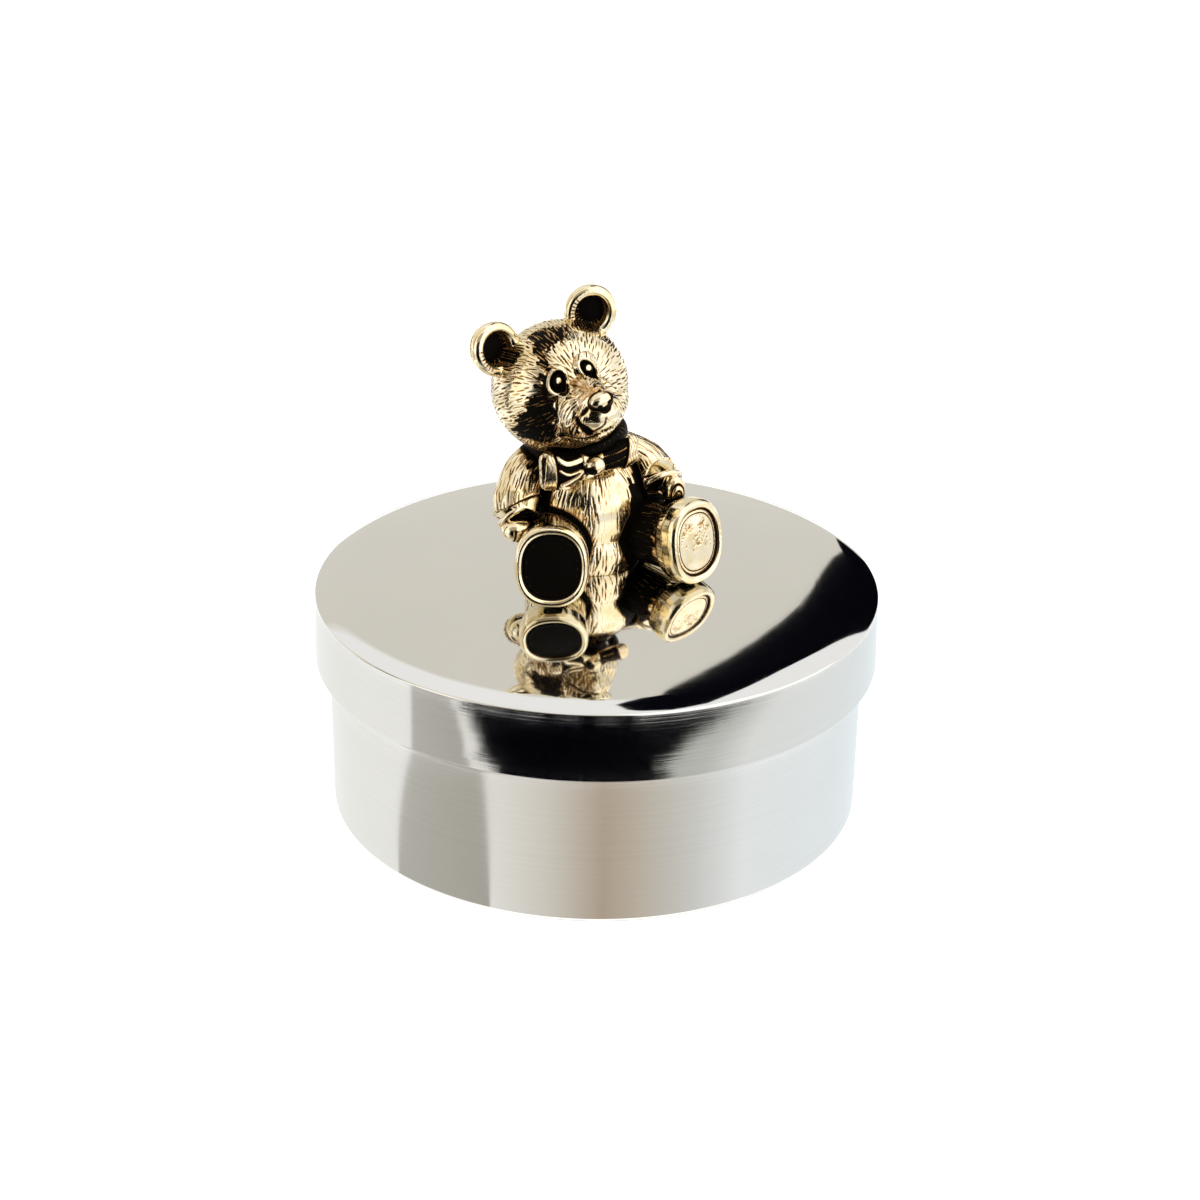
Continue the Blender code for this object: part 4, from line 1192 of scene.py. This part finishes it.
def make_bear():
    skins = {}

    def add(name, mesh, grain, rounds, place=BODY):
        skins[name] = Skin(melted(name, mesh, grain, rounds, place))
        return skins[name]

    carve_head(add("bear_head", head_forms(), 0.105, 14, HEAD))
    carve_torso(add("bear_torso", torso_forms(), 0.12, 14))
    for side in ARM_PATHS:
        carve_arm(add("bear_arm_" + side, arm_forms(side), 0.105, 5), side)
        carve_leg(add("bear_leg_" + side, leg_forms(side), 0.11, 5), side)
    carve_bow(add("bear_bow", bow_forms(), 0.10, 4))
    carve_collar(add("bear_collar", collar_forms(), 0.11, 4))
    for number, side in enumerate(ARM_PATHS):
        add("bear_eye_" + side, eye_forms(number), 0.06, 2, HEAD)
    add("bear_nose", nose_forms(), 0.07, 3, HEAD)

    for skin in skins.values():
        radius = np.hypot(skin.points[:, 0], skin.points[:, 1])
        skin.points[:, 2] = np.maximum(skin.points[:, 2], dome_height(radius) + SEAT)
        skin.write()
    gold = antique_gold()
    trees = {name: tree_of(skin.points) for name, skin in skins.items()}
    for name, skin in skins.items():
        if "nose" in name:
            dark = nose_shade_and_nostrils(skin)
        elif "eye" in name:
            dark = eye_black_and_highlight(skin)
        else:
            dark = skin_patina_and_shade(name, skins, trees)
        data = skin.item.data
        # the per-point dark value holds patina in strokes and hollows, and also painted shade and dark
        # reflections
        data.attributes.new("patina_and_painted_shade", "FLOAT", "POINT")
        data.attributes["patina_and_painted_shade"].data.foreach_set("value", np.clip(dark, 0, 1).astype(np.float32))
        data.transform(Matrix.Scale(MM, 4))
        data.shade_smooth()
        data.materials.clear()
        data.materials.append(gold)
        dress(skin.item, "lid", "antique_gold", "bear_figure")


# The studio. Angles are in degrees, with 0 towards the camera and 90 to the right
WHITE, PALE, STEEL, SKY = (0.98, 0.985, 0.97), (0.92, 0.91, 0.88), (0.70, 0.70, 0.68), (0.93, 0.97, 1.0)
GREY, WARM, COOL, BLACK = (0.54, 0.53, 0.49), (0.51, 0.42, 0.33), (0.90, 0.98, 1.03), (0.001, 0.001, 0.002)
DARK, STRIP, NEAR_FLOOR = (0.006, 0.005, 0.004), (0.05, 0.045, 0.04), (0.88, 0.87, 0.84)
BRIGHT, CREAMY, TAN = (1.55, 1.5, 1.42), (1.35, 1.28, 1.15), (0.86, 0.76, 0.58)
DOME_GREY, DOME_EDGE_WHITE = (0.765, 0.74, 0.675), (0.98, 0.975, 0.95)
AIM = Vector((0, 0, 0.03))
FAR = 2400

# What the walls mirror: each mark has its angle near the wall and far from it, its colour and its streakiness
BASE_BANDS = [
    (-80, -80, WHITE, 0), (-45.0, -39.6, WHITE, 0), (-44.4, -39.0, GREY, 0),
    (-21.6, -23.1, (0.46, 0.44, 0.40), 0), (-21.0, -22.5, PALE, 0), (-9, -9, (0.74, 0.71, 0.65), 0),
    (2, 2, WARM, 0), (9, 9, (0.59, 0.53, 0.45), 0), (20, 20, STEEL, 0), (32, 32, SKY, 0), (80, 80, COOL, 0)]
SKIRT_BANDS = [
    (-80, -80, WHITE, 0), (-37.2, -37.4, WHITE, 0), (-36.6, -36.8, GREY, 0),
    (-24.0, -29.3, (0.47, 0.46, 0.43), 0.3), (-23.3, -29.0, PALE, 0.3),
    (-18.9, -28.8, (0.90, 0.89, 0.86), 0.9), (-18.1, -28.2, BLACK, 1),
    (13.5, 30.3, BLACK, 1), (14.0, 31.0, (0.52, 0.53, 0.50), 1), (21, 34, (0.60, 0.61, 0.59), 0.3),
    (29, 40, (0.86, 0.88, 0.88), 0), (80, 80, COOL, 0)]

# What the bear and the lid mirror: elevations, each with its first and last angle, then colour and distance
CARDS = {
    "front_card": ([(-46, -44, 14), (20, -40, 14), (26, -34, 6)], DARK, 3.0),
    "upper_front_card": ([(26, -60, 8), (44, -56, 12), (60, -40, 20)], (0.42, 0.36, 0.28), 2.8),
    "strip_card": ([(-30, -94, -84), (40, -92, -80)], STRIP, 3.0),
    "left_card": ([(-20, -124, -96), (30, -124, -94), (80, -124, -60)], TAN, 2.7),
    "bright_card": ([(-24, 26, 84), (14, 24, 100), (40, 20, 126), (70, 10, 130), (84, 0, 140)], BRIGHT, 3.0),
    "cheek_card": ([(-12, -80, -50), (20, -80, -48), (34, -78, -52)], CREAMY, 3.0),
}
FLOOR_CARDS = {
    "front_floor_card": (98, FAR, -44, 14, DARK),
    "strip_floor_card": (98, FAR, -94, -84, STRIP),
    "near_floor_card": (98, 300, 14, 180, NEAR_FLOOR),
    "near_left_floor_card": (98, 300, -84, -44, NEAR_FLOOR),
    "near_back_floor_card": (98, 300, -180, -94, NEAR_FLOOR),
    "bright_floor_card": (300, FAR, 26, 84, BRIGHT),
}
# The grey that most of the lid mirrors: each elevation with its last angle; its edge has three tones
BACK_START = 160
BACK_REACH = [(-4, 236), (9, 232), (20, 224), (28, 214), (33, 207), (40, 202.5), (46, 199), (50, 194),
              (54, 189)]
BACK_TONES = [(0.0, 0.0), (0.34, 1.3), (0.67, 2.6)]
# The black shape that the lid's right side mirrors, as angles and elevations
FLAG = [
    (165.6, 2), (165.6, 9), (165.9, 16.6), (165.5, 21), (165.0, 25.3), (164.7, 29.4), (165.0, 33.7),
    (165.8, 38.2), (167.2, 42.3), (169.1, 45.6), (171.6, 48.8), (173.6, 53.5), (174.4, 64.9), (165, 73),
    (154.5, 74.7), (138, 72.5), (138, 65.7), (152.0, 53.5), (159.0, 43.6), (159.3, 40.9), (158.4, 38.6),
    (155.6, 36.0), (151.6, 33.5), (148.4, 31.2), (145.4, 28.2), (143.9, 25.0), (144.0, 21), (146, 10),
    (150, 0)]


def direction(angle, elevation=0.0):
    a, e = math.radians(angle), math.radians(elevation)
    return Vector((math.sin(a) * math.cos(e), -math.cos(a) * math.cos(e), math.sin(e)))


def blend(first, second, share):
    return [a + (b - a) * share for a, b in zip(first, second)]


def emission(name, colour=None):
    """Light of one colour, or of each point's own glow."""
    material = bpy.data.materials.new(name)
    material.use_nodes = True
    tree = material.node_tree
    tree.nodes.clear()
    out = tree.nodes.new("ShaderNodeOutputMaterial")
    light = tree.nodes.new("ShaderNodeEmission")
    if colour is None:
        glow = tree.nodes.new("ShaderNodeAttribute")
        glow.attribute_name = "glow"
        tree.links.new(glow.outputs["Color"], light.inputs[0])
    else:
        light.inputs[0].default_value = (*colour, 1)
    tree.links.new(light.outputs[0], out.inputs[0])
    material.cycles.emission_sampling = "NONE"
    return material


def mirrored_only(item):
    """Keeps a card for polished surfaces alone."""
    item.visible_camera = False
    item.visible_diffuse = False
    item.visible_transmission = False
    item.visible_volume_scatter = False
    item.visible_shadow = False


def far_card(name, mesh, colour):
    item = to_object(name, mesh, emission(name, colour), 1.0)
    item.location = AIM
    mirrored_only(item)


def card(name, rows, colour, distance):
    """A patch of a far sphere between the first and last angle of each elevation."""
    mesh = bmesh.new()
    levels = [row[0] for row in rows]
    grid = []
    for up in np.linspace(levels[0], levels[-1], 60):
        first, last = (np.interp(up, levels, [row[k] for row in rows]) for k in (1, 2))
        places = [direction(angle, up) * distance for angle in np.linspace(first, last, 30)]
        grid.append([mesh.verts.new(place) for place in places])
    bridge(mesh, grid, closed=False)
    far_card(name, mesh, colour)


def outline_card(name, outline, colour, distance):
    """A patch of a far sphere inside an outline."""
    mesh = bmesh.new()
    mesh.faces.new([mesh.verts.new(direction(angle, up) * distance) for angle, up in outline])
    bmesh.ops.triangulate(mesh, faces=mesh.faces)
    far_card(name, mesh, colour)


def floor_bands(name, radius, near, far, bands, streaks=0.0):
    """A sheet on the table from near to far of a wall, in bands that run outwards."""
    rows_count, steps, height, fan = 61, 8, 0.1, 2.12
    mesh = bmesh.new()
    glow = mesh.verts.layers.float_color.new("glow")
    random = np.random.default_rng(7)
    jitter = np.convolve(random.normal(size=rows_count + 2), (0.3, 0.4, 0.3), "valid") * streaks
    jitter += random.normal(size=rows_count) * streaks * 0.5
    rows = []
    for place, shift in zip(np.linspace(0, 1, rows_count), jitter):
        marks = [low + (high - low) * place**2 + shift * streaky for low, high, _, streaky in bands]
        marks = np.maximum.accumulate(marks)
        row = []
        for number in range((len(bands) - 1) * steps + 1):
            before, between = divmod(number, steps)
            following = min(before + 1, len(bands) - 1)
            angle = marks[before] + (marks[following] - marks[before]) * between / steps
            foot = direction(angle) * radius + Vector((0, 0, height))
            vertex = mesh.verts.new(foot + direction(fan * angle) * (near + (far - near) * place))
            vertex[glow] = (*blend(bands[before][2], bands[following][2], between / steps), 1)
            row.append(vertex)
        rows.append(row)
    bridge(mesh, rows, closed=False)
    mirrored_only(to_object(name, mesh, emission(name)))


def floor_sector(name, near, far, first, last, colour):
    """A patch of the table between two distances, in millimetres, and two angles."""
    mesh = bmesh.new()
    lift = Vector((0, 0, 0.15))
    rows = []
    for distance in (near, far):
        places = [direction(angle) * distance + lift for angle in np.linspace(first, last, 24)]
        rows.append([mesh.verts.new(place) for place in places])
    bridge(mesh, rows, closed=False)
    mirrored_only(to_object(name, mesh, emission(name, colour)))


def pale_floor():
    n = Nodes("table_white")
    cloud = n.noise(n.place(), 6.0, 3.0, 0.5)
    n.set(Base_Color=n.ramp(cloud, [(0.3, (0.93, 0.93, 0.93)), (0.7, (0.96, 0.96, 0.955))]), Roughness=0.8)
    path = n.add("ShaderNodeLightPath")
    seen = n.math("MAXIMUM", path.outputs["Is Camera Ray"], path.outputs["Is Glossy Ray"])
    n.set(Specular_IOR_Level=0.1, Emission_Color=(1, 1, 1, 1), Emission_Strength=n.times(seen, 0.25))
    return n.material


def make_stage():
    floor = bmesh.new()
    bmesh.ops.create_circle(floor, cap_ends=True, segments=96, radius=2.5)
    table = to_object("table", floor, pale_floor(), 1.0)
    table.location.z = -0.00005
    floor_bands("base_mirror_card", BASE_RADIUS + 0.1, 0.3, 35.6, BASE_BANDS)
    floor_bands("skirt_mirror_card", LID_RADIUS + SKIRT_FLARE, 35.9, 62, SKIRT_BANDS, 2.6)
    for name, (near, far, first, last, colour) in FLOOR_CARDS.items():
        floor_sector(name, near, far, first, last, colour)
    for name, (rows, colour, distance) in CARDS.items():
        card(name, rows, colour, distance)
    for number, (share, more) in enumerate(BACK_TONES):
        rows = [(up + more * (up > 0), BACK_START, angle + more) for up, angle in BACK_REACH]
        card("back_card_" + str(number), rows, blend(DOME_GREY, DOME_EDGE_WHITE, share), 3.0 + 0.05 * number)
    outline_card("flag_card", FLAG, (0.002, 0.002, 0.004), 2.9)


# Each lamp's place in metres and its power
LAMPS = {
    "key": ((-0.45, -0.35, 0.60), 5.0), "fill": ((0.55, -0.30, 0.50), 3.0), "back": ((0.1, 0.6, 0.5), 2.5),
}
# How bright the white room is for soft light, and where it is seen or mirrored
ROOM_LIGHT, ROOM_SEEN = 0.55, 1.0


def make_light():
    world = bpy.data.worlds.new("studio")
    world.use_nodes = True
    tree = world.node_tree
    ground = tree.nodes["Background"]
    ground.inputs[0].default_value = (1, 1, 1, 1)
    path = tree.nodes.new("ShaderNodeLightPath")
    seen = tree.nodes.new("ShaderNodeMath")
    seen.operation = "MAXIMUM"
    level = tree.nodes.new("ShaderNodeMapRange")
    level.inputs[3].default_value = ROOM_LIGHT
    level.inputs[4].default_value = ROOM_SEEN
    tree.links.new(path.outputs["Is Camera Ray"], seen.inputs[0])
    tree.links.new(path.outputs["Is Glossy Ray"], seen.inputs[1])
    tree.links.new(seen.outputs[0], level.inputs[0])
    tree.links.new(level.outputs[0], ground.inputs[1])
    SCENE.world = world
    for name, (spot, power) in LAMPS.items():
        light = bpy.data.lights.new(name, "AREA")
        light.size = 0.5
        light.energy = power
        item = bpy.data.objects.new(name, light)
        SCENE.collection.objects.link(item)
        item.location = spot
        item.rotation_euler = (AIM - Vector(spot)).to_track_quat("-Z", "Y").to_euler()
        item.visible_glossy = False


# The photograph's camera: distance from the target, elevation and roll in radians, focal length in pixels
CAMERA_DISTANCE = 323.7
CAMERA_ELEVATION = 0.4665
CAMERA_ROLL = 0.0152
FOCAL_PIXELS = 2491.0
PHOTO_PIXELS = 1200
SENSOR = 36
TARGET = Vector((0, 0, 20))
LOOK_SHIFT = Vector((0.425, 0, 6.73))


def make_camera():
    spot = TARGET + Vector((0, -math.cos(CAMERA_ELEVATION), math.sin(CAMERA_ELEVATION))) * CAMERA_DISTANCE
    ahead = (TARGET + LOOK_SHIFT - spot).normalized()
    right = ahead.cross(Vector((0, 0, 1))).normalized()
    up = right.cross(ahead)
    across = right * math.cos(CAMERA_ROLL) + up * math.sin(CAMERA_ROLL)
    upright = up * math.cos(CAMERA_ROLL) - right * math.sin(CAMERA_ROLL)
    camera = bpy.data.cameras.new("camera")
    camera.sensor_width = SENSOR
    camera.lens = SENSOR * FOCAL_PIXELS / PHOTO_PIXELS
    camera.clip_start = 0.001
    item = bpy.data.objects.new("camera", camera)
    SCENE.collection.objects.link(item)
    matrix = Matrix((across, upright, -ahead)).transposed().to_4x4()
    matrix.translation = spot * MM
    item.matrix_world = matrix
    SCENE.camera = item


SCENE.view_settings.view_transform = "Standard"
make_camera()
make_light()
make_stage()
make_base()
make_skirt()
make_lid_top()
make_fixing()
make_lining()
make_bear()
